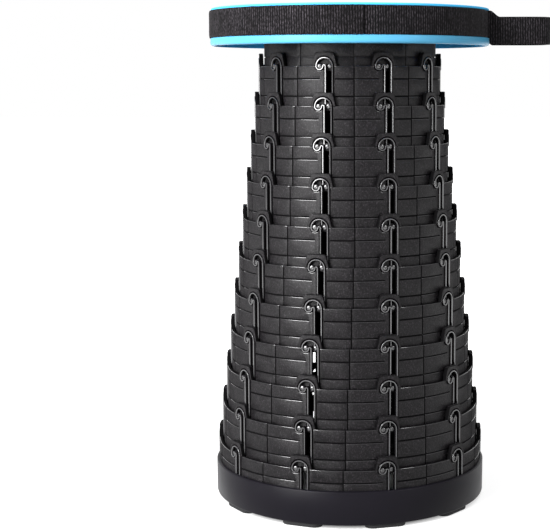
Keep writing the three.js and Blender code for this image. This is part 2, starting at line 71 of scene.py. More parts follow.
# Hook slots, tabs, rims and pins
PIN_DIAMETER = 3.9
PIN_RECESS = 1.2
PIN_SOFT = 0.75
PIN_STEPS = 20
POCKET_SKIN = 0.9
POCKET_HEADROOM = 0.6
SLOT_HALF = 2.3
HOOK_HALF = 4.1
SLOT_ROOF = 5.2
TAB_FOOT_MARGIN = 4.6
TAB_TOP_MARGIN = 1.9
TAB_CORNER = 2.6
RIM_WIDTH = 1.35
RIM_PROUD = 1.25
RIM_CHAMFER = 0.9
RIM_GROOVE = 0.8
RIM_GROOVE_DEPTH = 0.8
RIM_ROOT = 1.1
ARC_STEPS = 14
HEAD_DIAMETER = 4.3
HEAD_PROUD = 0.3
HEAD_DROP = 0.1
DIMPLE = 0.75
DIMPLE_LIP = 0.05
DIMPLE_WALL = 0.35
DIMPLE_DEPTH = 0.45
DIMPLE_FLOOR_SHARE = 0.7

# Edges of the rim's crest, as distances from the rim's side and drops below the crest
RIM_SLOT_EDGE = ((0.12, 0.45), (0.3, 0.14), (0.4, 0.0))
RIM_WALL_EDGE = ((0.3, 0.0), (0.1, 0.2), (0.0, 0.5))

# Slits and seams pressed into the rings' walls
SKIN = 1.2
SLIT_DEPTHS = (22.5, 37.3)
SLIT_HEIGHT = 0.85
SLIT_START = 9.5
SLIT_END = -4.2
SEAM_HALF = 0.28
EDGE = 0.3

# How far a face leans before it counts as a softened edge, a flat front or a side, as parts of its normal
LEAN_SHARE = 0.3
FLAT_SHARE = 0.95
SIDE_SHARE = 0.5
LIP_REACH = 1.0

# Base
BASE_BOTTOM = 3.5
FLANGE = 3.0
FLANGE_MARGIN = 1.0
NEST_GAP = 5.8
BAND_RADIUS = 123.0
BAND_ROUND = 1.1
BAND_DRAFT = 0.2
BAND_STEPS = 240
FOOT_THICKNESS = 3.2
FOOT_LENGTH = 36.0
FOOT_WIDTH = 14.0
FOOT_INSET = 2.0
FOOT_CHAMFER = 1.1
BAND_LEDGE = 1.0

# Seat
SEAT_RADIUS = 125.0
SEAT_STEPS = 200
LID_PLATE = 3.0
LID_FLANGE = 1.8
LID_FLANGE_INSET = 0.7
STRAP_GROOVE_DEPTH = 2.1
SKIRT_WALL = 1.2
SEAT_RIM = 6.8
RIM_ROUND = 2.4
HEADROOM = 2.3
REST_GAP = 1.3
GROOVE_RADII = (87.9, 110.4)
GROOVE_HALF = 0.9
GROOVE_DEPTH = 0.35
EDGE_ROUND = 0.8
GROOVE_SHARES = ((-1.5, 0), (-1, 0), (-0.4, 1), (0.4, 1), (1, 0), (1.5, 0))
SOFT_EDGE = 0.5
SKIRT_CORNER = 2.0
ROOT = 0.5
# Finish indices on the seat: painted shade in the wells' cups and on their lips, painted light on the lowest
# rim
WELL_PAINTED_SHADE = 1
LIP_PAINTED_SHADE = 2
RIM_PAINTED_LIGHT = 3

# Grip plate and finger wells
GRIP_LENGTH = 91.0
GRIP_WIDTH = 53.0
GRIP_THICKNESS = 1.0
GRIP_SINK = 0.2
GAP = 0.3
GRIP_STEPS = 96
WELL_DIAMETER = 25.0
WELL_SPACING = 59.4
WELL_DEPTH = 14.0
WELL_WALL = 1.8
WELL_ROUND = 5.0
WELL_LIP = 0.7
WELL_STEPS = 64
WELL_ROUND_STEPS = 8
RECESS_FLAT = 0.8
LIP_LAP = 0.1
LIP_EDGE = 0.25
LIP_SOFT = 0.2
LIP_HEIGHT = 3.0
CUP_ROUND = 2.0
CUP_FLOOR = 0.8
GRIP_BORDER = 3.2
FIELD_SINK = 0.12
LINE_HALF = 0.4
LINE_PROUD = 0.16
LINE_CREST_SHARE = 0.4
LINE_STEPS = 16
SIDE_LINE = 18.9
SIDE_LINE_BOW = 1.2
SIDE_LINE_HALF = 17.2
END_ARC = 20.8
END_ARC_SPAN = (17.0, 55.0)
BORDER_FINISH = 1
LINE_FINISH = 2

# Screws, bosses and ribs under the seat
SCREW_COUNT = 5
SCREW_CIRCLE_MARGIN = 7.6
SCREW_SHANK = 3.3
SCREW_HEAD = 7.6
SCREW_HEAD_HEIGHT = 2.2
SCREW_HOLE_CLEARANCE = 0.45
SCREW_END_GAP = 1.0
CROSS_LENGTH = 4.4
CROSS_WIDTH = 1.0
CROSS_DEPTH = 1.2
BOSS_DIAMETER = 9.0
BOSS_HEIGHT = 8.0
TOP_FLANGE = 3.0
TOP_FLANGE_MARGIN = 7.0
RIB_COUNT = 5
RIB_WIDTH = 2.0
RIB_DEPTH = 6.0
RIB_CLEARANCE = 2.4
HUB_DIAMETER = 16.0
SCREW_POINT = 1.0
SCREW_TIP = 0.6
HEAD_STEPS = 40
SHANK_STEPS = 24
BOSS_STEPS = 32
HUB_STEPS = 48

# Webbing
STRAP_WIDTH = 23.6
STRAP_THICKNESS = 1.3
STRAP_GAP = 0.4
STRAP_BEND = 2.2
LOOP_REACH = 56.2
LOOP_DROOP = 5.5
LOOP_DROOP_RUN = 9.0
LOOP_ROOT_WIDTH = 56.0
LOOP_BELLY_WIDTH = 62.0
LOOP_CORNER = 20.0
LOOP_CROWN = 2.0
OVERLAP_END = 275.0
YARN_STEP = 0.55
YARN_PITCH = 2.2
YARN_HEIGHT = 0.36
SELVEDGE = 1.5
LOOP_STEPS = 24
CORNER_STEPS = 20
CROWN_STEPS = 16
BEND_STEPS = 5

# Across the webbing, as shares of its half width, and the wander of its yarns
ACROSS_SHARES = (-1, -0.94, -0.8, -0.5, -0.2, 0.2, 0.5, 0.8, 0.94, 1)
SELVEDGE_BODY_SHARE = 0.45
YARN_SHARE = 0.7
YARN_WANDER_SHARE = 0.6
WANDER_STEP = 0.11
WANDER_ACROSS = 2.2
WANDER_SEED = 3.1
WANDER_TURN = 1.4
YARN_LEAN = 0.5

# Slider
SLIDER_ANGLE = 42.0
SLIDER_RAIL = 2.4
SLIDER_LENGTH = 20.0
SLIDER_THICKNESS = 2.4
SLIDER_BAR = 3.0
SLIDER_MIDDLE_BAR = 3.6
SLIDER_CORNER = 2.0
SLIDER_EDGE = 0.6
TAIL_START = 4.0
TAIL_TIP = 7.0
TAIL_LIFT = 1.6
TAIL_RISE_LEAD = 0.9
TAIL_BENDS = (0, 1.0, 1.0, 3.0, 0)
WINDOW_CORNER = 0.6

# Sizes that follow
BASE_RING = RINGS + 1
ARCH = HOOK_HALF + SLOT_HALF
TONGUE = HOOK_HALF - SLOT_HALF
TAB_HEIGHT = ARCH + SLOT_ROOF
TAB_FOOT = ARCH + TAB_FOOT_MARGIN
TAB_TOP = ARCH + TAB_TOP_MARGIN
RING_HEIGHT = TAB_HEIGHT + TRAVEL + SLOT_HALF + RING_FOOT
BASE_TAB_TOP = BASE_BOTTOM + FLANGE + NEST_GAP + RING_HEIGHT
SEAT_HEIGHT = LID_FLANGE + STRAP_WIDTH + 2 * GAP + SEAT_RIM
BAND_TOP = BASE_TAB_TOP + HEADROOM + LID_PLATE - SEAT_HEIGHT - REST_GAP
SEAT_BOTTOM = BAND_TOP + REST_GAP + BASE_RING * TRAVEL
SEAT_TOP = SEAT_BOTTOM + SEAT_HEIGHT
LID_UNDERSIDE = SEAT_TOP - LID_PLATE
STRAP_SEAT = SEAT_RADIUS - STRAP_GROOVE_DEPTH
SKIRT_RADIUS = STRAP_SEAT - SKIRT_WALL
FLANGE_RADIUS = SEAT_RADIUS - LID_FLANGE_INSET
STRAP_GROOVE_TOP = SEAT_TOP - LID_FLANGE
STRAP_GROOVE_BOTTOM = SEAT_BOTTOM + SEAT_RIM
STRAP_TOP = STRAP_GROOVE_TOP - GAP
STRAP_BOTTOM = STRAP_TOP - STRAP_WIDTH
STRAP_MIDDLE = (STRAP_TOP + STRAP_BOTTOM) / 2
FIRST_LAYER = STRAP_SEAT + STRAP_GAP + STRAP_THICKNESS / 2
SECOND_LAYER = FIRST_LAYER + STRAP_THICKNESS + GAP
SLIDER_BACK = SECOND_LAYER + STRAP_THICKNESS / 2 + GAP
TOP_FLANGE_TOP = LID_UNDERSIDE - BOSS_HEIGHT
TOP_FLANGE_BOTTOM = TOP_FLANGE_TOP - TOP_FLANGE
SCREW_HOLE = SCREW_SHANK / 2 + SCREW_HOLE_CLEARANCE


def ring_radius(ring):
    return BASE_RADIUS - (BASE_RING - ring) * RING_PITCH


def tab_top(ring):
    return BASE_TAB_TOP + (BASE_RING - ring) * TRAVEL


def ring_turn(ring):
    return math.radians(-90 + FRONT_ANGLE + max(0, ring - RINGS_IN_LINE) * RING_TWIST)


def hook_turns(ring):
    return [ring_turn(ring) + 2 * math.pi * k / HOOKS for k in range(HOOKS)]


SCREW_CIRCLE = ring_radius(0) - WALL - SCREW_CIRCLE_MARGIN
SCREW_TURNS = [math.pi / 2 + 2 * math.pi * k / SCREW_COUNT for k in range(SCREW_COUNT)]


# Flat outlines
def polar(radius, angle):
    return Vector((radius * math.cos(angle), radius * math.sin(angle)))


def arc(centre, radius, start, end, steps):
    return [Vector(centre) + polar(radius, start + (end - start) * i / steps) for i in range(steps + 1)]


def circle(radius, steps, centre=(0, 0)):
    return arc(centre, radius, 0, 2 * math.pi, steps)[:-1]


def spots(*places):
    """Points of an outline."""
    return [Vector(place) for place in places]


def rectangle(left, low, right, high):
    return spots((left, low), (right, low), (right, high), (left, high))


def bezier(a, control, b, steps):
    shares = [i / steps for i in range(steps + 1)]
    return [a * (1 - t) ** 2 + control * (2 * t * (1 - t)) + b * t ** 2 for t in shares]


def rounded(corners, radii, steps=EDGE_STEPS):
    """Outline with some corners rounded."""
    points = []
    for i, (corner, radius) in enumerate(zip(corners, radii)):
        before = corners[i - 1]
        after = corners[(i + 1) % len(corners)]
        if radius:
            start = corner + (before - corner).normalized() * radius
            end = corner + (after - corner).normalized() * radius
            points += bezier(start, corner, end, steps)
        else:
            points.append(corner.copy())
    return points


def beside(path, distance, closed=True):
    """Points at a distance to the left of a path."""
    runs = [(b - a).normalized() for a, b in zip(path, path[1:] + path[:1])]
    if not closed:
        runs[-1] = runs[-2]
    points = []
    for i, (p, outward) in enumerate(zip(path, runs)):
        inward = runs[i - 1] if closed or i else outward
        run = inward + outward
        run = run.normalized() if run.length > HAIR else outward
        left = Vector((-run.y, run.x))
        points.append(p + left * (distance / max(MITRE_SHARE, run.dot(outward))))
    return points


# Meshes
class Skin:
    """Points and faces of a shell that is built ring by ring."""

    def __init__(self):
        self.points = []
        self.faces = []

    def ring(self, points):
        first = len(self.points)
        self.points.extend(Vector(p) for p in points)
        return list(range(first, len(self.points)))

    def level(self, outline, height):
        return self.ring([(*p, height) for p in outline])

    def bridge(self, a, b, closed=True):
        count = len(a)
        for i in range(count if closed else count - 1):
            j = (i + 1) % count
            self.faces.append((a[i], a[j], b[j], b[i]))

    def join(self, rings, closed=True):
        for a, b in zip(rings, rings[1:]):
            self.bridge(a, b, closed)

    def sweep(self, rings, closed):
        """Skin of a section carried along a path. Each ring is one line of it, and open ends are filled."""
        self.join(rings + rings[:1], closed)
        if not closed:
            self.faces += [tuple(ring[end] for ring in rings) for end in (0, -1)]

    def cap(self, rings):
        """Flat faces that fill the first ring, less the holes given by the others."""
        flat = [i for ring in rings for i in ring]
        loops = [[self.points[i] for i in ring] for ring in rings]
        for corners in tessellate_polygon(loops):
            self.faces.append(tuple(flat[i] for i in corners))

    def shell(self):
        bm = bmesh.new()
        verts = [bm.verts.new(p) for p in self.points]
        for face in self.faces:
            if len({tuple(verts[i].co) for i in face}) > 2:
                bm.faces.new([verts[i] for i in face])
        bmesh.ops.recalc_face_normals(bm, faces=bm.faces)
        return bm


def plate(loops, back, front, edge=0.0, back_edge=0.0):
    """Plate over an outline and its holes, with softened edges. Holes run the other way round."""
    skin = Skin()
    steps = [(0.0, back)]
    if back_edge:
        soft = ROUND_SHARE * back_edge
        steps = [(back_edge, back), (soft, back + soft), (0.0, back + back_edge)]
    if edge:
        soft = ROUND_SHARE * edge
        steps += [(0.0, front - edge), (soft, front - soft), (edge, front)]
    else:
        steps.append((0.0, front))
    ends = []
    for loop in loops:
        rings = [skin.level(beside(loop, shrink), depth) for shrink, depth in steps]
        skin.join(rings)
        ends.append((rings[0], rings[-1]))
    for end in zip(*ends):
        skin.cap(end)
    return skin.shell()


def moulding(path, profile, closed=False):
    """Closed section carried along a flat path. The section is listed as distance to the left and depth."""
    skin = Skin()
    skin.sweep([skin.level(beside(path, left, closed), depth) for left, depth in profile], closed)
    return skin.shell()


def lathe(profile, steps, closed=True):
    """Section of radius and height turned about the axis."""
    skin = Skin()
    rings = [skin.level(circle(radius, steps), height) for radius, height in profile]
    skin.join(rings + rings[:1] if closed else rings)
    if not closed:
        skin.cap([rings[0]])
        skin.cap([rings[-1]])
    return skin.shell()


def merge(target, source, matrix=Matrix(), material=0, free=True):
    """Adds a shell to another one."""
    mesh = bpy.data.meshes.new("part")
    source.to_mesh(mesh)
    mesh.transform(matrix)
    if material:
        for polygon in mesh.polygons:
            polygon.material_index = material
    target.from_mesh(mesh)
    bpy.data.meshes.remove(mesh)
    if free:
        source.free()


def put(name, data):
    result = bpy.data.objects.new(name, data)
    bpy.context.scene.collection.objects.link(result)
    return result


def piece(name, bm, body, materials, replaced, sharp=SHARP_ANGLE):
    """Named piece from a shell in millimetres. It moves with its body."""
    bmesh.ops.scale(bm, vec=(MM, MM, MM), verts=bm.verts)
    mesh = bpy.data.meshes.new(name)
    bm.to_mesh(mesh)
    bm.free()
    for material in materials:
        mesh.materials.append(material)
    for polygon in mesh.polygons:
        polygon.use_smooth = True
    mesh.set_sharp_from_angle(angle=math.radians(sharp))
    result = put(name, mesh)
    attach(result, body)
    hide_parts(*replaced)


# Materials. The owner of the nodes is a material or the world
def feed(owner, node, socket, value):
    """Gives a socket a value, a colour or the output of another node."""
    target = node.inputs[socket]
    if isinstance(value, bpy.types.NodeSocket):
        owner.node_tree.links.new(value, target)
    elif target.type == "RGBA":
        target.default_value = (*value, 1)
    else:
        target.default_value = value


def add(owner, kind, settings=None, **sockets):
    node = owner.node_tree.nodes.new("ShaderNode" + kind)
    for key, value in (settings or {}).items():
        setattr(node, key, value)
    for key, value in sockets.items():
        feed(owner, node, key.replace("_", " "), value)
    return node


def mix(owner, factor, first, second, **settings):
    settings = {"data_type": "RGBA", **settings}
    return add(owner, "Mix", settings, Factor=factor, A=first, B=second).outputs["Result"]


def ramp(owner, value, low, high, start=0.0, end=1.0):
    node = add(owner, "MapRange", Value=value, From_Min=low, From_Max=high, To_Min=start, To_Max=end)
    return node.outputs["Result"]


def combine(owner, operation, first, second, clamp=False):
    node = add(owner, "Math", {"operation": operation, "use_clamp": clamp})
    feed(owner, node, 0, first)
    feed(owner, node, 1, second)
    return node.outputs[0]


def clouds(owner, place, scale, detail, roughness):
    node = add(owner, "TexNoise", Vector=place, Scale=scale, Detail=detail, Roughness=roughness)
    return node.outputs["Fac"]


def bump(owner, height, depth, below=None, strength=1.0):
    node = add(owner, "Bump", Height=height, Strength=strength, Distance=depth * MM)
    if below is not None:
        feed(owner, node, "Normal", below)
    return node.outputs["Normal"]


def plain(name, color, roughness, metallic=0.0, specular=0.5):
    """New material, its shader and the place on the object."""
    material = bpy.data.materials.new(name)
    material.use_nodes = True
    shader = material.node_tree.nodes["Principled BSDF"]
    feed(material, shader, "Base Color", color)
    feed(material, shader, "Roughness", roughness)
    feed(material, shader, "Metallic", metallic)
    feed(material, shader, "Specular IOR Level", specular)
    return material, shader, add(material, "TexCoord").outputs["Object"]


# Spread of the clouds, and the angles at which a surface dulls, from facing the eye to edge on
CLOUD_SHARES = (0.3, 0.7)
GRAZE_SHARES = (0.35, 0.75)


def dulled(material, gloss, amount):
    """Rougher surface where it is seen at a low angle, as fine grain makes it."""
    facing = add(material, "LayerWeight", Blend=0.5).outputs["Facing"]
    return combine(material, "ADD", gloss, ramp(material, facing, *GRAZE_SHARES, 0.0, amount), clamp=True)


def moulded(name, color, dark, roughness, specular, spread=0.05, grain=0.8, depth=0.02, worn=None, dull=0.0):
    """Moulded plastic: cloudy colour and gloss, fine grain, and paler worn edges."""
    material, shader, place = plain(name, color, roughness, specular=specular)
    cloud = clouds(material, place, scale=22.0, detail=6.0, roughness=0.62)
    tint = mix(material, cloud, dark, color)
    if worn:
        pointed = add(material, "NewGeometry").outputs["Pointiness"]
        rubbed = ramp(material, pointed, low=0.52, high=0.6, end=0.6)
        tint = mix(material, rubbed, tint, worn)
    feed(material, shader, "Base Color", tint)
    gloss = ramp(material, cloud, *CLOUD_SHARES, roughness - spread, roughness + spread)
    feed(material, shader, "Roughness", dulled(material, gloss, dull) if dull else gloss)
    fine = clouds(material, place, scale=1 / (grain * MM), detail=3.0, roughness=0.6)
    feed(material, shader, "Normal", bump(material, fine, depth))
    return material


def leather_grain(name, color, dark, painted_glints, roughness, specular, cell, depth):
    """Plastic with a pebbled grain pressed in by the mould, painted shade in the grain's creases, pale
    specks that are painted glints on the grain, and faint upright draw marks.
    """
    material, shader, place = plain(name, color, roughness, specular=specular)
    upright = add(material, "Mapping", Vector=place, Scale=(1.0, 1.0, 0.75)).outputs["Vector"]
    wide = 1 / (3 * cell * MM)
    warp = add(material, "TexNoise", Vector=place, Scale=wide, Detail=3.0, Roughness=0.6)
    bend = mix(material, 0.0015, place, warp.outputs["Color"], data_type="VECTOR")
    edges = {"feature": "DISTANCE_TO_EDGE"}
    pebbles = add(material, "TexVoronoi", edges, Vector=bend, Scale=1 / (cell * MM))
    crease = ramp(material, pebbles.outputs["Distance"], low=0.0, high=0.22)
    cloud = clouds(material, place, scale=30.0, detail=7.0, roughness=0.65)
    pale = ramp(material, cloud, *CLOUD_SHARES, 0.55, 1.25)
    # Painted shade: the dark colour fills the creases between the pebbles
    shade = mix(material, 0.7, mix(material, crease, dark, color), pale, blend_type="MULTIPLY")
    # Painted glints: pale specks in the glint colour, scattered over the grain
    specks = clouds(material, upright, scale=1 / (0.9 * cell * MM), detail=5.0, roughness=0.8)
    glint = ramp(material, specks, low=0.52, high=0.72)
    feed(material, shader, "Base Color", mix(material, glint, shade, painted_glints))
    gloss = ramp(material, cloud, *CLOUD_SHARES, roughness - 0.08, roughness + 0.1)
    feed(material, shader, "Roughness", dulled(material, gloss, 0.5))
    streaks = clouds(material, upright, scale=1 / (0.9 * MM), detail=2.0, roughness=0.5)
    marks = bump(material, streaks, 0.5 * depth)
    feed(material, shader, "Normal", bump(material, crease, depth, marks))
    return material


def webbing(name, color, dark, sheen):
    """Woven polypropylene: speckled yarns, painted shade in the gaps between them, painted highlight on
    their crests, and a faint sheen.
    """
    material, shader, place = plain(name, color, roughness=0.75, specular=0.07)
    feed(material, shader, "Sheen Weight", sheen)
    feed(material, shader, "Sheen Roughness", 0.4)
    upright = add(material, "Mapping", Vector=place, Scale=(1.0, 1.0, 0.45)).outputs["Vector"]
    speckle = add(material, "TexVoronoi", Vector=upright, Scale=1 / (1.1 * MM))
    fibre = ramp(material, speckle.outputs["Distance"], 0.1, 0.7, 1.0, 0.0)
    cloud = clouds(material, upright, scale=90.0, detail=6.0, roughness=0.7)
    pale = ramp(material, cloud, *CLOUD_SHARES, 0.1, 1.8)
    shade = mix(material, 0.8, mix(material, fibre, dark, color), pale, blend_type="MULTIPLY")
    # Painted shade in the gaps between yarns and painted highlight on their crests, from the yarn value
    row = add(material, "Attribute", {"attribute_name": "yarn"})
    gap = ramp(material, row.outputs["Fac"], 0.2, 0.85, 0.04, 2.3)
    feed(material, shader, "Base Color", mix(material, 1.0, shade, gap, blend_type="MULTIPLY"))
    feed(material, shader, "Normal", bump(material, fibre, 0.14))
    return material


def brushed_steel(name, color):
    material, shader, place = plain(name, color, roughness=0.3, metallic=1.0)
    brush = clouds(material, place, scale=1 / (0.4 * MM), detail=4.0, roughness=0.5)
    feed(material, shader, "Roughness", ramp(material, brush, *CLOUD_SHARES, 0.22, 0.45))
    feed(material, shader, "Normal", bump(material, brush, 0.03, strength=0.6))
    return material


ring_finishes = [
    # Ring plastic: pebbled grain with painted shade in its creases and pale specks as painted glints
    leather_grain(
        "ring_grain", (0.0045, 0.0038, 0.0046), (0.001, 0.001, 0.0012), painted_glints=(0.042, 0.036, 0.042),
        roughness=0.36, specular=0.14, cell=1.3, depth=0.07,
    ),
    moulded(
        "ring_smooth", (0.01, 0.0095, 0.011), (0.006, 0.0055, 0.0065), roughness=0.15, specular=1.0,
        spread=0.03, grain=0.9, depth=0.003, worn=(0.03, 0.029, 0.032),
    ),
    # Painted shade: a darker, matte copy of the ring plastic for sloping edges, sides, grooves, slits, seams
    # and the wall's hidden core
    moulded(
        "ring_painted_shade", (0.0025, 0.0023, 0.0027), (0.0015, 0.0014, 0.0016), roughness=0.8, specular=0.05,
        grain=0.9,
    ),
]
band_black = moulded(
    "band_plastic", (0.007, 0.006, 0.009), (0.0045, 0.004, 0.006), roughness=0.36, specular=0.08, grain=0.7,
)
foot_black = moulded(
    "foot_rubber", (0.014, 0.014, 0.015), (0.009, 0.009, 0.01), roughness=0.75, specular=0.3,
    spread=0.08, depth=0.05,
)
seat_finishes = [
    moulded("seat_plastic", (0.075, 0.56, 0.98), (0.068, 0.53, 0.94), 0.48, specular=0.12, dull=0.5),
    # Painted shade: darker copies of the seat's blue plastic inside the finger wells and on their lips
    moulded("well_painted_shade", (0.005, 0.065, 0.3), (0.004, 0.05, 0.24), 0.4, specular=0.15),
    moulded("lip_painted_shade", (0.02, 0.13, 0.4), (0.015, 0.11, 0.35), 0.4, specular=0.25),
    # Painted light: the seat's blue plastic as a duller, greyer copy on its lowest rim, standing in for how
    # the light falls there
    moulded("seat_rim_painted_light", (0.09, 0.36, 0.58), (0.08, 0.34, 0.55), 0.36, specular=0.12),
]
grip_finishes = [
    # Grip plate: the same grain with painted shade in its creases and pale specks as painted glints
    leather_grain(
        "grip_grain", (0.009, 0.0085, 0.01), (0.002, 0.002, 0.0025), painted_glints=(0.034, 0.033, 0.038),
        roughness=0.4, specular=0.18, cell=1.2, depth=0.4,
    ),
    moulded("grip_border", (0.008, 0.009, 0.014), (0.006, 0.007, 0.01), 0.35, specular=0.12, dull=0.5),
    moulded("grip_line", (0.14, 0.135, 0.14), (0.11, 0.105, 0.11), 0.35, specular=0.4),
]
strap_black = webbing("strap_webbing", (0.021, 0.0185, 0.0212), (0.003, 0.0027, 0.0032), sheen=0.04)
slider_black = moulded(
    "slider_plastic", (0.012, 0.012, 0.013), (0.008, 0.008, 0.009), roughness=0.3, specular=0.3,
    worn=(0.03, 0.03, 0.032),
)
steel = brushed_steel("screw_steel", (0.55, 0.56, 0.58))

# Rings. One sector is drawn flat, x along the wall from the tab's middle, y up from the tab's top, z out
SLOT_BOTTOM = -TAB_HEIGHT - TRAVEL - SLOT_HALF
POCKET_TOP = -TAB_HEIGHT - TRAVEL + SLOT_HALF + POCKET_HEADROOM
SMOOTH = 1
# Finish index of the painted shade
PAINTED_SHADE = 2
NOTCH = RIM_WIDTH + RIM_GROOVE


def slot_path():
    """Edge of the hook slot, with the slot on its left, from the foot of the run round to it again."""
    path = spots((ARCH, SLOT_BOTTOM))
    path += arc((0, -TAB_HEIGHT), ARCH, 0, math.pi, ARC_STEPS)
    path += arc((-HOOK_HALF, -TAB_HEIGHT), SLOT_HALF, math.pi, 2 * math.pi, ARC_STEPS)[1:]
    path += arc((0, -TAB_HEIGHT), TONGUE, math.pi, 0, ARC_STEPS // 2)[1:]
    return path + spots((TONGUE, SLOT_BOTTOM))


def shade_sides(bm, lip):
    """Painted shade on a flat plate's sloping edges and sides, and the given finish for its top lip. The
    upward faces of the slits left of the slot take the paler, glossier smooth finish instead, as a painted
    highlight.
    """
    bm.normal_update()
    front = max(v.co.z for v in bm.verts)
    for face in bm.faces:
        lean = face.normal
        # Sloping edges and sides get the painted shade
        if LEAN_SHARE < lean.z < FLAT_SHARE:
            face.material_index = PAINTED_SHADE
            if min(v.co.y for v in face.verts) > -TAB_HEIGHT - LIP_REACH:
                face.material_index = lip
            # Painted highlight: upward faces of the slits left of the slot get the smooth finish, not the
            # painted shade
            elif lean.y > LEAN_SHARE and face.calc_center_median().x < 0:
                face.material_index = SMOOTH
        elif lean.z < LEAN_SHARE:
            behind = max(v.co.z for v in face.verts) < front - 2 * EDGE
            if behind or abs(lean.x) > SIDE_SHARE:
                face.material_index = PAINTED_SHADE
    return bm


def rim():
    """Raised lip round the slot, chamfered on the slot's side and set off from the wall by a groove. The
    groove and the faces that lie wholly below the wall's face get the painted shade, the rest the smooth
    finish.
    """
    root = RIM_WIDTH + RIM_ROOT
    section = [(0, -WALL), (0, RIM_PROUD - RIM_CHAMFER)]
    section += [(inward, RIM_PROUD - drop) for inward, drop in RIM_SLOT_EDGE]
    section += [(RIM_WIDTH - inward, RIM_PROUD - drop) for inward, drop in RIM_WALL_EDGE]
    section += [(RIM_WIDTH, -RIM_GROOVE_DEPTH), (root, -RIM_GROOVE_DEPTH), (root, -WALL)]
    bm = moulding(slot_path(), [(-right, depth) for right, depth in section])
    for face in bm.faces:
        depths = [v.co.z for v in face.verts]
        in_groove = min(depths) < -RIM_GROOVE_DEPTH + WELD and max(depths) < RIM_PROUD - RIM_CHAMFER
        # Painted shade in the groove and on the faces below the wall's face
        face.material_index = PAINTED_SHADE if in_groove or max(depths) <= 0 else SMOOTH
    return bm


def notched_top(left, right):
    """Top edge of the wall from right to left, going down round the slot's rim."""
    run = TONGUE - NOTCH
    outer = ARCH + NOTCH
    hollow = SLOT_HALF + NOTCH
    meet = math.acos((run + HOOK_HALF) / hollow)
    edge = spots((right, -TAB_HEIGHT), (outer, -TAB_HEIGHT), (outer, SLOT_BOTTOM), (run, SLOT_BOTTOM))
    edge += arc((-HOOK_HALF, -TAB_HEIGHT), hollow, -meet, -math.pi, ARC_STEPS)
    return edge + spots((left, -TAB_HEIGHT))


def wall_core(half):
    """Inner part of the wall, which joins its neighbours at both ends. All of it gets the painted shade."""
    outline = spots((-half, -RING_HEIGHT), (half, -RING_HEIGHT)) + notched_top(-half, half)
    core = plate([outline], -WALL, -SKIN + EDGE)
    # Painted shade on the whole core, which shows in the slits and seams
    for face in core.faces:
        face.material_index = PAINTED_SHADE
    ends = [f for f in core.faces if all(abs(abs(v.co.x) - half) < WELD for v in f.verts)]
    bmesh.ops.delete(core, geom=ends, context="FACES")
    return core


def wall_skin(half):
    """Outer part of the wall, ending at the seams and notched by the slits. Its sloping edges and sides get
    the painted shade and its top lip the smooth finish.
    """
    edge = half - SEAM_HALF
    right = []
    left = []
    for depth in sorted(SLIT_DEPTHS, reverse=True):
        low = -depth - SLIT_HEIGHT / 2
        high = -depth + SLIT_HEIGHT / 2
        right += spots((edge, low), (SLIT_START, low), (SLIT_START, high), (edge, high))
        left = spots((-edge, high), (SLIT_END, high), (SLIT_END, low), (-edge, low)) + left
    outline = spots((-edge, -RING_HEIGHT), (edge, -RING_HEIGHT)) + right + notched_top(-edge, edge) + left
    # Painted shade on the slits' and seams' sides, painted highlight on the upward faces of the slits left
    # of the slot
    return shade_sides(plate([outline], -SKIN, 0, EDGE), SMOOTH)


def tab():
    """Raised tab over the slot's arch, with the painted shade on all its sloping edges and sides."""
    corners = spots((TAB_FOOT, -TAB_HEIGHT), (TAB_TOP, 0), (-TAB_TOP, 0), (-TAB_FOOT, -TAB_HEIGHT))
    outline = rounded(corners, [0, TAB_CORNER, TAB_CORNER, 0])
    outline += arc((0, -TAB_HEIGHT), ARCH + NOTCH, math.pi, 0, 2 * ARC_STEPS)
    # Painted shade also on the tab's top lip
    return shade_sides(plate([outline], -WALL, TAB_PROUD, EDGE, EDGE), PAINTED_SHADE)


def pocket_skin():
    """Thin wall that closes the foot of the slot on the outside and carries the ring's own pin."""
    return plate([rectangle(TONGUE - EDGE, SLOT_BOTTOM - EDGE, ARCH + EDGE, POCKET_TOP)], -POCKET_SKIN, 0)


def bend_round(bm, half, radius):
    """Cuts a flat sector into upright strips and bends it to the wall's radius."""
    for i in range(1, COLUMNS):
        x = -half + 2 * half * i / COLUMNS
        everything = bm.verts[:] + bm.edges[:] + bm.faces[:]
        bmesh.ops.bisect_plane(bm, geom=everything, plane_co=(x, 0, 0), plane_no=(1, 0, 0), dist=HAIR)
    for v in bm.verts:
        reach = radius + v.co.z
        turn = v.co.x / radius
        v.co = Vector((reach * math.cos(turn), reach * math.sin(turn), v.co.y))


def round_pin(start, end, along, height, diameter):
    """Pin that stands out of the wall at angle zero, with a soft end and a dimple."""
    r = diameter / 2
    soft = ROUND_SHARE * PIN_SOFT
    section = [
        (r, start), (r, end - PIN_SOFT), (r - soft, end - soft), (r - PIN_SOFT, end),
        (DIMPLE, end + DIMPLE_LIP), (DIMPLE_FLOOR_SHARE * DIMPLE, end - DIMPLE_WALL),
        (POINT, end - DIMPLE_DEPTH),
    ]
    skin = Skin()
    rings = []
    for width, reach in section:
        rings.append(skin.ring([(reach, along + p.x, height + p.y) for p in circle(width, PIN_STEPS)]))
    skin.join(rings)
    skin.faces.append(tuple(rings[0]))
    skin.faces.append(tuple(rings[-1]))
    return skin.shell()


def around(target, source, ring, height, material=0):
    """Puts ten copies of a shell round the tower, at a ring's hooks."""
    for turn in hook_turns(ring):
        place = Matrix.Translation((0, 0, height)) @ Matrix.Rotation(turn, 4, "Z")
        merge(target, source, place, material, free=False)
    source.free()


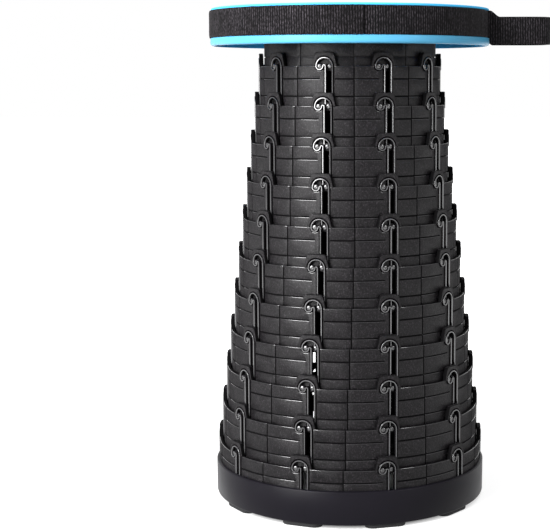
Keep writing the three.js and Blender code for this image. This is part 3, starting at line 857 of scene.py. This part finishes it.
def ring_shell(ring):
    """Ring with its tabs, slots, rims, pins and the locked heads in the hooks' ends."""
    radius = ring_radius(ring)
    half = radius * math.pi / HOOKS
    bm = bmesh.new()
    core = wall_core(half)
    bend_round(core, half, radius)
    around(bm, core, ring, tab_top(ring))
    bmesh.ops.remove_doubles(bm, verts=bm.verts, dist=WELD)
    grained = bmesh.new()
    merge(grained, wall_skin(half))
    merge(grained, tab())
    if ring < BASE_RING:
        merge(grained, pocket_skin())
    for sector in (grained, rim()):
        bend_round(sector, half, radius)
        around(bm, sector, ring, tab_top(ring))
    head = round_pin(radius - WALL, radius + HEAD_PROUD, -HOOK_HALF, -TAB_HEIGHT - HEAD_DROP, HEAD_DIAMETER)
    around(bm, head, ring, tab_top(ring), SMOOTH)
    if ring < BASE_RING:
        add_pins(bm, ring)
    return bm


def add_pins(bm, ring):
    """Pins at a ring's foot, each standing in the run of the next ring's slot."""
    start = ring_radius(ring) - POCKET_SKIN / 2
    end = ring_radius(ring + 1) - PIN_RECESS
    pin = round_pin(start, end, HOOK_HALF, -TAB_HEIGHT, PIN_DIAMETER)
    around(bm, pin, ring + 1, tab_top(ring + 1), SMOOTH)


for number in range(1, RINGS + 1):
    ring_name = f"ring_{number:02d}"
    piece(f"{ring_name}_shell", ring_shell(number), ring_name, ring_finishes, [ring_name])


# Base: hooked wall in a plain band with an inward flange, on ten pads
def base_band():
    inner = BASE_RADIUS - WALL
    behind = BASE_RADIUS - POCKET_SKIN
    pocket_foot = BASE_TAB_TOP + SLOT_BOTTOM
    flange_edge = BAND_RADIUS - FOOT_INSET - FOOT_WIDTH - FLANGE_MARGIN
    flange_top = BASE_BOTTOM + FLANGE
    low = BAND_RADIUS - BAND_DRAFT
    soft = ROUND_SHARE * BAND_ROUND
    return lathe([
        (flange_edge, BASE_BOTTOM + EDGE), (flange_edge + EDGE, BASE_BOTTOM),
        (low - BAND_ROUND, BASE_BOTTOM), (low - soft, BASE_BOTTOM + soft), (low, BASE_BOTTOM + BAND_ROUND),
        (BAND_RADIUS, BAND_TOP - BAND_ROUND), (BAND_RADIUS - soft, BAND_TOP - soft),
        (BAND_RADIUS - BAND_ROUND, BAND_TOP), (BASE_RADIUS + EDGE, BAND_TOP),
        (BASE_RADIUS + EDGE, BAND_TOP - BAND_LEDGE), (behind, BAND_TOP - BAND_LEDGE),
        (behind, pocket_foot), (inner, pocket_foot), (inner, flange_top + EDGE), (inner - EDGE, flange_top),
        (flange_edge + EDGE, flange_top), (flange_edge, flange_top - EDGE),
    ], BAND_STEPS)


def foot_pad(turn):
    half = FOOT_WIDTH / 2
    straight = FOOT_LENGTH / 2 - half
    outline = arc((0, straight), half, 0, math.pi, END_STEPS)
    outline += arc((0, -straight), half, math.pi, 2 * math.pi, END_STEPS)
    pad = plate([outline], 0, FOOT_THICKNESS, FOOT_CHAMFER)
    place = Matrix.Translation((BAND_RADIUS - FOOT_INSET - half, 0, FOOT_THICKNESS))
    flipped = Matrix.Rotation(turn, 4, "Z") @ place @ Matrix.Rotation(math.pi, 4, "Y")
    bmesh.ops.transform(pad, matrix=flipped, verts=pad.verts)
    return pad


piece("base_wall", ring_shell(BASE_RING), "base", ring_finishes, ["base_ring"])
piece("base_band", base_band(), "base", [band_black], ["base_ring"], SOFT_ANGLE)
for number, foot_turn in enumerate(hook_turns(BASE_RING), start=1):
    pad_name = f"foot_pad_{number:02d}"
    piece(pad_name, foot_pad(foot_turn), "base", [foot_black], [f"foot_{number:02d}"])


# Ring under the seat: the same wall without slots, with an inner flange for the screws
def top_ring():
    radius = ring_radius(0)
    half = radius * math.pi / HOOKS
    foot = tab_top(0) - RING_HEIGHT
    top = LID_UNDERSIDE - GAP
    inner = radius - WALL
    core = radius - SKIN + EDGE
    bm = bmesh.new()
    merge(bm, lathe([(inner, foot), (core, foot), (core, top), (inner, top)], BAND_STEPS))
    edge = half - SEAM_HALF
    levels = [foot, *(tab_top(0) - depth for depth in sorted(SLIT_DEPTHS, reverse=True)), top]
    panels = bmesh.new()
    for i, (low, high) in enumerate(zip(levels, levels[1:])):
        low += SLIT_HEIGHT / 2 if i else 0
        high -= SLIT_HEIGHT / 2 if i < len(levels) - 2 else 0
        merge(panels, plate([rectangle(-edge, low, edge, high)], -SKIN, 0, EDGE))
    bend_round(panels, half, radius)
    around(bm, panels, 0, 0)
    add_pins(bm, 0)
    holes = [circle(SCREW_CIRCLE - TOP_FLANGE_MARGIN, BAND_STEPS)]
    holes += [circle(SCREW_HOLE, SHANK_STEPS, polar(SCREW_CIRCLE, turn)) for turn in SCREW_TURNS]
    loops = [circle(inner + WALL / 2, BAND_STEPS)] + [hole[::-1] for hole in holes]
    merge(bm, plate(loops, TOP_FLANGE_BOTTOM, TOP_FLANGE_TOP, EDGE, EDGE))
    return bm


piece("top_ring_shell", top_ring(), "seat", ring_finishes, ["top_ring"])

# Seat: lid with two fine grooves, a recess for the grip plate, wells, a webbing groove and a skirt
WELLS = spots((WELL_SPACING / 2, 0), (-WELL_SPACING / 2, 0))


def oval(gap, steps=GRIP_STEPS):
    """Outline of the grip plate, moved outward by a gap."""
    return [Vector(((GRIP_LENGTH / 2 + gap) * p.x, (GRIP_WIDTH / 2 + gap) * p.y)) for p in circle(1, steps)]


def top_section():
    """Section of the lid from the middle of the top outward and down to the skirt's inside."""
    section = []
    for groove in GROOVE_RADII:
        for across, down in GROOVE_SHARES:
            section.append((groove + across * GROOVE_HALF, SEAT_TOP - down * GROOVE_DEPTH))
    section.append((FLANGE_RADIUS - 3 * EDGE_ROUND, SEAT_TOP))
    corner = (FLANGE_RADIUS - EDGE_ROUND, SEAT_TOP - EDGE_ROUND)
    section += arc(corner, EDGE_ROUND, math.pi / 2, 0, EDGE_STEPS)[1:]
    soft = ROUND_SHARE * SOFT_EDGE
    section += [
        (FLANGE_RADIUS, STRAP_GROOVE_TOP + EDGE), (FLANGE_RADIUS - EDGE, STRAP_GROOVE_TOP),
        (STRAP_SEAT, STRAP_GROOVE_TOP), (STRAP_SEAT, STRAP_GROOVE_BOTTOM),
        (SEAT_RADIUS - SOFT_EDGE, STRAP_GROOVE_BOTTOM), (SEAT_RADIUS - soft, STRAP_GROOVE_BOTTOM - soft),
        (SEAT_RADIUS, STRAP_GROOVE_BOTTOM - SOFT_EDGE),
    ]
    corner = (SEAT_RADIUS - RIM_ROUND, SEAT_BOTTOM + RIM_ROUND)
    section += arc(corner, RIM_ROUND, 0, -math.pi / 2, ROUND_STEPS)
    return section + [
        (SKIRT_RADIUS + EDGE, SEAT_BOTTOM), (SKIRT_RADIUS, SEAT_BOTTOM + EDGE),
        (SKIRT_RADIUS, LID_UNDERSIDE - SKIRT_CORNER), (SKIRT_RADIUS - SKIRT_CORNER, LID_UNDERSIDE),
    ]


def rib_runs(turn, reach):
    """Lengths of a rib from the middle outward, ending in a well's wall and going on beyond the well."""
    for centre in WELLS:
        along = centre.dot(polar(1, turn))
        off = math.sqrt(centre.length_squared - along ** 2)
        wall = WELL_DIAMETER / 2 + WELL_WALL / 2
        if along > 0 and off < wall:
            half = math.sqrt(wall ** 2 - off ** 2)
            return [(0, along - half), (along + half, reach)]
    return [(0, reach)]


def lid_skin():
    """The lid itself, with open wells."""
    skin = Skin()
    recess_floor = SEAT_TOP - GRIP_SINK - GRIP_THICKNESS - GAP
    recess = [(0, recess_floor), (0, SEAT_TOP - LIP_EDGE), (EDGE, SEAT_TOP), (RECESS_FLAT, SEAT_TOP)]
    rings = [skin.level(oval(GAP + margin, SEAT_STEPS), height) for margin, height in recess]
    rings += [skin.level(circle(radius, SEAT_STEPS), height) for radius, height in top_section()]
    skin.join(rings)
    mouths = [circle(WELL_DIAMETER / 2, WELL_STEPS, centre) for centre in WELLS]
    holes = [skin.level(mouth, recess_floor) for mouth in mouths]
    under = [skin.level(mouth, LID_UNDERSIDE) for mouth in mouths]
    for a, b in zip(holes, under):
        skin.bridge(a, b)
    skin.cap([rings[0], *holes])
    skin.cap([rings[-1], *under])
    lid = skin.shell()
    # Painted light: the lowest rim below the webbing groove gets its own copy of the seat blue
    for face in lid.faces:
        below = max(v.co.z for v in face.verts) < STRAP_GROOVE_BOTTOM + POINT
        if below and min(v.co.xy.length for v in face.verts) > SKIRT_RADIUS + POINT:
            face.material_index = RIM_PAINTED_LIGHT
    return lid


def seat_lid():
    bm = bmesh.new()
    merge(bm, lid_skin())
    for centre in WELLS:
        add_well(bm, centre)
    rooted = LID_UNDERSIDE + ROOT
    for turn in SCREW_TURNS:
        place = polar(SCREW_CIRCLE, turn)
        loops = [circle(BOSS_DIAMETER / 2, BOSS_STEPS, place), circle(SCREW_HOLE, SHANK_STEPS, place)[::-1]]
        merge(bm, plate(loops, TOP_FLANGE_TOP + GAP, rooted, 0, EDGE))
    rib_foot = LID_UNDERSIDE - RIB_DEPTH
    half = RIB_WIDTH / 2
    for i in range(RIB_COUNT):
        turn = SCREW_TURNS[0] + (i + 0.5) * 2 * math.pi / RIB_COUNT
        for start, end in rib_runs(turn, ring_radius(0) - WALL - RIB_CLEARANCE):
            rib = plate([rectangle(start, -half, end, half)], rib_foot, rooted, 0, EDGE)
            merge(bm, rib, Matrix.Rotation(turn, 4, "Z"))
    merge(bm, plate([circle(HUB_DIAMETER / 2, HUB_STEPS)], rib_foot, rooted, 0, EDGE))
    return bm


def add_well(bm, centre):
    """Cup that hangs under the lid, with a rounded floor inside and a lip round its mouth. The cup's inside
    and the lip take the painted shade.
    """
    inner = WELL_DIAMETER / 2 - WELL_LIP
    outer = WELL_DIAMETER / 2 + WELL_WALL
    well_floor = SEAT_TOP - WELL_DEPTH
    rim_height = SEAT_TOP - GRIP_SINK
    place = Matrix.Translation((*centre, 0))
    inside = [(inner + LIP_LAP, rim_height - EDGE)]
    corner = (inner - WELL_ROUND, well_floor + WELL_ROUND)
    inside += arc(corner, WELL_ROUND, 0, -math.pi / 2, WELL_ROUND_STEPS)
    inside.append((POINT, well_floor))
    cup = Skin()
    rings = [cup.level(circle(radius, WELL_STEPS), height) for radius, height in inside]
    cup.join(rings)
    cup.faces.append(tuple(rings[-1]))
    cup_shell = cup.shell()
    cup_shell.normal_update()
    if sum(face.normal.z for face in cup_shell.faces) < 0:
        bmesh.ops.reverse_faces(cup_shell, faces=cup_shell.faces[:])
    # Painted shade inside the cup
    merge(bm, cup_shell, place, WELL_PAINTED_SHADE)
    lip_edge = inner + WELL_LIP - LIP_LAP
    lip_foot = rim_height - LIP_HEIGHT
    lip = lathe([
        (inner, rim_height - LIP_EDGE), (inner + LIP_SOFT, rim_height), (lip_edge - LIP_SOFT, rim_height),
        (lip_edge, rim_height - LIP_EDGE), (lip_edge, lip_foot), (inner, lip_foot),
    ], WELL_STEPS)
    merge(bm, lip, place, LIP_PAINTED_SHADE)
    bottom = well_floor - WELL_WALL
    soft = ROUND_SHARE * CUP_ROUND
    inside_edge = inner + EDGE
    merge(bm, lathe([
        (outer, LID_UNDERSIDE + ROOT), (outer, bottom + CUP_ROUND), (outer - soft, bottom + soft),
        (outer - CUP_ROUND, bottom), (POINT, bottom), (POINT, bottom + CUP_FLOOR),
        (inside_edge, bottom + CUP_FLOOR), (inside_edge, LID_UNDERSIDE + ROOT),
    ], WELL_STEPS), place)


piece("seat_shell", seat_lid(), "seat", seat_finishes, ["seat_lid"])


# Grip plate with a smooth border, a grained field and a fine raised outline
def grip_lines():
    """Middle lines of the outline: one along each side and four short arcs round the wells."""
    lines = []
    for side in (1, -1):
        start, end = spots(*((x * SIDE_LINE_HALF, side * (SIDE_LINE - SIDE_LINE_BOW)) for x in (-1, 1)))
        lines.append(bezier(start, Vector((0, side * (SIDE_LINE + SIDE_LINE_BOW))), end, LINE_STEPS))
        for centre in WELLS:
            facing = math.pi if centre.x > 0 else 0
            turn = side if centre.x < 0 else -side
            span = [facing + turn * math.radians(angle) for angle in END_ARC_SPAN]
            lines.append(arc(centre, END_ARC, *span, END_STEPS))
    return lines


def grip_plate():
    top = SEAT_TOP - GRIP_SINK
    field = top - FIELD_SINK
    holes = [circle(WELL_DIAMETER / 2, WELL_STEPS, centre)[::-1] for centre in WELLS]
    bm = bmesh.new()
    merge(bm, plate([oval(0), *holes], top - GRIP_THICKNESS, field, EDGE))
    soft = ROUND_SHARE * SOFT_EDGE
    border = [(0, -SOFT_EDGE), (soft, -soft), (SOFT_EDGE, 0), (GRIP_BORDER - EDGE, 0), (GRIP_BORDER, -EDGE)]
    border = [(inward, top + rise) for inward, rise in border]
    merge(bm, moulding(oval(0), border, True), material=BORDER_FINISH)
    section = [(-LINE_HALF, -EDGE), (-LINE_HALF, 0), (-LINE_CREST_SHARE * LINE_HALF, LINE_PROUD)]
    section += [(-left, depth) for left, depth in section[::-1]]
    for line in grip_lines():
        merge(bm, moulding(line, [(left, field + depth) for left, depth in section]), material=LINE_FINISH)
    return bm


piece("grip_plate_shell", grip_plate(), "seat", grip_finishes, ["grip_plate"])


# Webbing. Its yarns stand upright in rows along the ribbon
def even(path, closed):
    """The path again with points at even steps, and its length."""
    points = path + path[:1] if closed else path
    lengths = [(b - a).length for a, b in zip(points, points[1:])]
    total = sum(lengths)
    count = max(2, round(total / YARN_STEP))
    result = []
    i = 0
    passed = 0.0
    for k in range(count if closed else count + 1):
        at = total * k / count
        while i < len(lengths) - 1 and passed + lengths[i] < at:
            passed += lengths[i]
            i += 1
        result.append(points[i].lerp(points[i + 1], (at - passed) / lengths[i]))
    return result, total


def droop(x):
    """How far the webbing sinks below the seat's groove."""
    out = min(1.0, max(0.0, (x - SEAT_RADIUS + STRAP_BEND) / LOOP_DROOP_RUN))
    return LOOP_DROOP * out * out * (3 - 2 * out)


def ribbon(path, closed):
    """Upright ribbon along a flat path, with yarn rows and soft selvedges."""
    points, total = even(path, closed)
    rows = round(total / YARN_PITCH)
    left = [q - p for p, q in zip(points, beside(points, 1.0, closed))]
    half = STRAP_THICKNESS / 2
    reach = STRAP_WIDTH / 2
    skin = Skin()
    rings = []
    yarns = []
    for side, shares in ((1, ACROSS_SHARES), (-1, ACROSS_SHARES[::-1])):
        for share in shares:
            inside = min(1.0, (1 - abs(share)) * reach / SELVEDGE)
            full = SELVEDGE_BODY_SHARE + (1 - SELVEDGE_BODY_SHARE) * math.sqrt(inside)
            body = half * full - YARN_HEIGHT / 2
            moved = []
            for k, (p, n) in enumerate(zip(points, left)):
                wander = noise.noise(Vector((k * WANDER_STEP, share * WANDER_ACROSS, WANDER_SEED)))
                turn = 2 * math.pi * rows * k / len(points)
                wave = math.sin(turn + WANDER_TURN * wander + YARN_LEAN * share)
                yarn = YARN_HEIGHT / 2 * inside * wave * (YARN_SHARE + YARN_WANDER_SHARE * wander)
                x, y = p + n * (side * (body + yarn))
                moved.append((x, y, STRAP_MIDDLE + share * reach - droop(p.x)))
                yarns.append((1 + wave) / 2)
            rings.append(skin.ring(moved))
    skin.sweep(rings, closed)
    bm = skin.shell()
    # The yarn value runs from 0 in the gaps between yarns to 1 on their crests, and the webbing's material
    # turns it into painted shade and painted highlight
    layer = bm.verts.layers.float.new("yarn")
    for vert, yarn in zip(bm.verts, yarns):
        vert[layer] = yarn
    return bm


def strap_path():
    """Centre line of the webbing: out along the loop and once round the seat."""
    root_turn = math.asin(LOOP_ROOT_WIDTH / 2 / FIRST_LAYER)
    root = polar(FIRST_LAYER, root_turn)
    tip = SEAT_RADIUS + LOOP_REACH - STRAP_THICKNESS / 2
    end = tip - LOOP_CROWN
    belly = LOOP_BELLY_WIDTH / 2
    shoulder = Vector((end - LOOP_CORNER, belly))
    crown_start = Vector((end, belly - LOOP_CORNER))
    leg = bezier(root, Vector(((root.x + shoulder.x) / 2, belly)), shoulder, LOOP_STEPS)
    leg = [p for p in leg if (p - root).length > STRAP_BEND]
    upper = leg + bezier(shoulder, Vector((end, belly)), crown_start, CORNER_STEPS)[1:]
    lower = [Vector((p.x, -p.y)) for p in upper]
    crown = bezier(Vector((end, -crown_start.y)), Vector((tip + LOOP_CROWN, 0)), crown_start, CROWN_STEPS)
    loop = lower + crown[1:-1] + upper[::-1]
    rim_start = root_turn + STRAP_BEND / FIRST_LAYER
    rim_run = arc((0, 0), FIRST_LAYER, rim_start, 2 * math.pi - rim_start, BAND_STEPS)
    first_bend = bezier(loop[-1], root, rim_run[0], BEND_STEPS)[1:-1]
    last_bend = bezier(rim_run[-1], Vector((root.x, -root.y)), loop[0], BEND_STEPS)[1:-1]
    return loop + first_bend + rim_run + last_bend


def overlap_path():
    start = math.radians(SLIDER_ANGLE) + SLIDER_MIDDLE_BAR / 2 / SECOND_LAYER
    return arc((0, 0), SECOND_LAYER, start, math.radians(OVERLAP_END), SEAT_STEPS)


def tail_path():
    low = SECOND_LAYER
    high = SLIDER_BACK + SLIDER_THICKNESS + GAP + STRAP_THICKNESS / 2
    end = SLIDER_LENGTH / 2
    run = spots(
        (low, -end - TAIL_START), (low, SLIDER_BAR - end + TAIL_RISE_LEAD),
        (high, -SLIDER_MIDDLE_BAR / 2 - TAIL_RISE_LEAD), (high, end), (high + TAIL_LIFT, end + TAIL_TIP),
    )
    turn = Matrix.Rotation(math.radians(SLIDER_ANGLE), 2)
    return [turn @ p for p in rounded(run, TAIL_BENDS, ROUND_STEPS)]


STRAPS = (
    ("webbing_band", strap_path(), True, "webbing_strap"),
    ("webbing_overlap", overlap_path(), False, "strap_overlap"),
    ("webbing_tail", tail_path(), False, "strap_tail"),
)
for strap_name, strap_run, strap_closed, strap_node in STRAPS:
    strap = ribbon(strap_run, strap_closed)
    piece(strap_name, strap, "seat", [strap_black], [strap_node], SOFT_ANGLE)


# Slider: rounded plate with two windows
def slider():
    half_length = SLIDER_LENGTH / 2
    window_half = STRAP_WIDTH / 2 + GAP
    half_height = window_half + SLIDER_RAIL
    corners = rectangle(-half_length, -half_height, half_length, half_height)
    loops = [rounded(corners, [SLIDER_CORNER] * 4, ROUND_STEPS)]
    for side in (1, -1):
        low, high = sorted((side * SLIDER_MIDDLE_BAR / 2, side * (half_length - SLIDER_BAR)))
        window = rectangle(low, -window_half, high, window_half)[::-1]
        loops.append(rounded(window, [WINDOW_CORNER] * 4))
    bm = plate(loops, 0, SLIDER_THICKNESS, SLIDER_EDGE, SLIDER_EDGE)
    turn = math.radians(SLIDER_ANGLE)
    outward = Vector((math.cos(turn), math.sin(turn), 0))
    along = Vector((-math.sin(turn), math.cos(turn), 0))
    stand = Matrix((along, Vector((0, 0, 1)), outward)).transposed().to_4x4()
    place = Matrix.Translation(outward * SLIDER_BACK + Vector((0, 0, STRAP_MIDDLE))) @ stand
    bmesh.ops.transform(bm, matrix=place, verts=bm.verts)
    return bm


piece("strap_slider_shell", slider(), "seat", [slider_black], ["strap_slider"])


# Screws with cross recesses
def screw(turn):
    head_top = TOP_FLANGE_BOTTOM - GAP
    recess_floor = head_top - SCREW_HEAD_HEIGHT + CROSS_DEPTH
    shank_end = LID_UNDERSIDE - SCREW_END_GAP
    r = SCREW_HEAD / 2
    shank = SCREW_SHANK / 2
    long_half = CROSS_LENGTH / 2
    wide_half = CROSS_WIDTH / 2
    quarter = spots((long_half, -wide_half), (long_half, wide_half), (wide_half, wide_half))
    cross = []
    for k in range(4):
        cross += [Matrix.Rotation(k * math.pi / 2, 2) @ p for p in quarter]
    bm = bmesh.new()
    flipped = Matrix.Translation((0, 0, recess_floor)) @ Matrix.Rotation(math.pi, 4, "X")
    merge(bm, plate([circle(r, HEAD_STEPS), cross[::-1]], 0, CROSS_DEPTH, EDGE), flipped)
    merge(bm, lathe([(r, recess_floor), (r, head_top)], HEAD_STEPS, closed=False))
    stem = [(shank, head_top), (shank, shank_end - SCREW_POINT), (SCREW_TIP, shank_end)]
    merge(bm, lathe(stem, SHANK_STEPS, closed=False))
    bmesh.ops.translate(bm, vec=(*polar(SCREW_CIRCLE, turn), 0), verts=bm.verts)
    return bm


for number, screw_turn in enumerate(SCREW_TURNS, start=1):
    piece(f"screw_{number}_shell", screw(screw_turn), "seat", [steel], [f"screw_{number}"])

# Camera
PHOTO_WIDTH = 550
FOCAL_PIXELS = 1378.5
SENSOR = 36.0
PITCH = 6.5
CAMERA_DISTANCE = 1253.0
CAMERA_HEIGHT = 380.3
SIDE_SHIFT_PIXELS = 74.9
SHIFT_PIXELS = 31.2

camera_data = bpy.data.cameras.new("camera")
camera_data.sensor_width = SENSOR
camera_data.lens = FOCAL_PIXELS * SENSOR / PHOTO_WIDTH
camera_data.shift_x = -SIDE_SHIFT_PIXELS / PHOTO_WIDTH
camera_data.shift_y = -SHIFT_PIXELS / PHOTO_WIDTH
camera = put("camera", camera_data)
camera.matrix_world = (
    Matrix.Translation((0, -CAMERA_DISTANCE * MM, CAMERA_HEIGHT * MM))
    @ Matrix.Rotation(math.radians(90 - PITCH), 4, "X")
)
bpy.context.scene.camera = camera

# Studio: white surroundings, soft boxes on both sides and above, pale floor that keeps the shadow
WORLD_LIGHT = 0.22
FLOOR_GLOW = 0.8
FLOOR_SHADE = 0.48
FLOOR_BOUNCE = 0.4
FLOOR_NEAR = 0.25
FLOOR_FAR = 0.7
FLOOR_SIZE = 12.0
AIM_HEIGHT = 0.25
WHITE = (1, 1, 1)


def seen_directly(owner):
    """One for camera, mirror and see-through rays, zero for the rays that light the object."""
    path = add(owner, "LightPath")
    total = path.outputs["Is Camera Ray"]
    for output in ("Is Glossy Ray", "Is Transmission Ray"):
        total = combine(owner, "MAXIMUM", total, path.outputs[output])
    return total


def either(owner, factor, first, second):
    """Shader that is the first where the factor is zero and the second where it is one."""
    node = add(owner, "MixShader")
    for socket, value in enumerate((factor, first, second)):
        feed(owner, node, socket, value)
    return node.outputs[0]


def light_world(world):
    world.use_nodes = True
    world.node_tree.nodes.clear()
    dim = add(world, "Background", Color=WHITE, Strength=WORLD_LIGHT).outputs[0]
    white = add(world, "Background", Color=WHITE, Strength=1.0).outputs[0]
    add(world, "OutputWorld", Surface=either(world, seen_directly(world), dim, white))
    bpy.context.scene.world = world


def floor_finish(owner):
    """White floor that shows the object's shadow, with painted shade under the stool where its glow fades
    out, sends back little light and is clear from below.
    """
    owner.use_nodes = True
    owner.node_tree.nodes.clear()
    spot = add(owner, "TexCoord").outputs["Object"]
    away = add(owner, "VectorMath", {"operation": "LENGTH"}, Vector=spot).outputs["Value"]
    # Painted shade: the floor's glow fades out under the stool, so the floor inside the tower is dark
    glow_painted_dark_under_stool = ramp(owner, away, (BAND_RADIUS - FOOT_WIDTH) * MM, BAND_RADIUS * MM, 0.0, FLOOR_GLOW)
    strength = combine(owner, "ADD", glow_painted_dark_under_stool, ramp(owner, away, FLOOR_NEAR, FLOOR_FAR))
    both = add(owner, "AddShader")
    feed(owner, both, 0, add(owner, "BsdfDiffuse", Color=(FLOOR_SHADE,) * 3).outputs[0])
    feed(owner, both, 1, add(owner, "Emission", Strength=strength).outputs[0])
    bounce = add(owner, "BsdfDiffuse", Color=(FLOOR_BOUNCE,) * 3).outputs[0]
    above = either(owner, seen_directly(owner), bounce, both.outputs[0])
    back = add(owner, "NewGeometry").outputs["Backfacing"]
    clear = add(owner, "BsdfTransparent").outputs[0]
    add(owner, "OutputMaterial", Surface=either(owner, back, above, clear))
    return owner


light_world(bpy.data.worlds.new("studio"))
floor_mesh = bpy.data.meshes.new("floor")
floor_shape = bmesh.new()
bmesh.ops.create_grid(floor_shape, x_segments=1, y_segments=1, size=FLOOR_SIZE)
floor_shape.to_mesh(floor_mesh)
floor_shape.free()
floor_mesh.materials.append(floor_finish(bpy.data.materials.new("floor")))
floor = put("floor", floor_mesh)


def softbox(name, turn, distance, height, width, tall, power):
    """Area lamp in metres that stands round the object at an angle and faces it."""
    lamp_data = bpy.data.lights.new(name, "AREA")
    lamp_data.shape = "RECTANGLE"
    lamp_data.size = width
    lamp_data.size_y = tall
    lamp_data.energy = power
    lamp = put(name, lamp_data)
    lamp.location = (*polar(distance, math.radians(turn)), height)
    lamp.rotation_euler = (Vector((0, 0, AIM_HEIGHT)) - lamp.location).to_track_quat("-Z", "Y").to_euler()


softbox("left_box", turn=-134, distance=1.5, height=0.72, width=0.9, tall=1.2, power=66)
softbox("right_box", turn=-40, distance=1.7, height=0.9, width=0.3, tall=1.0, power=9)
softbox("front_box", turn=-110, distance=2.4, height=1.6, width=1.2, tall=0.9, power=3)
softbox("top_box", turn=90, distance=0.3, height=2.3, width=1.5, tall=1.5, power=11)

bpy.context.scene.view_settings.view_transform = "Standard"
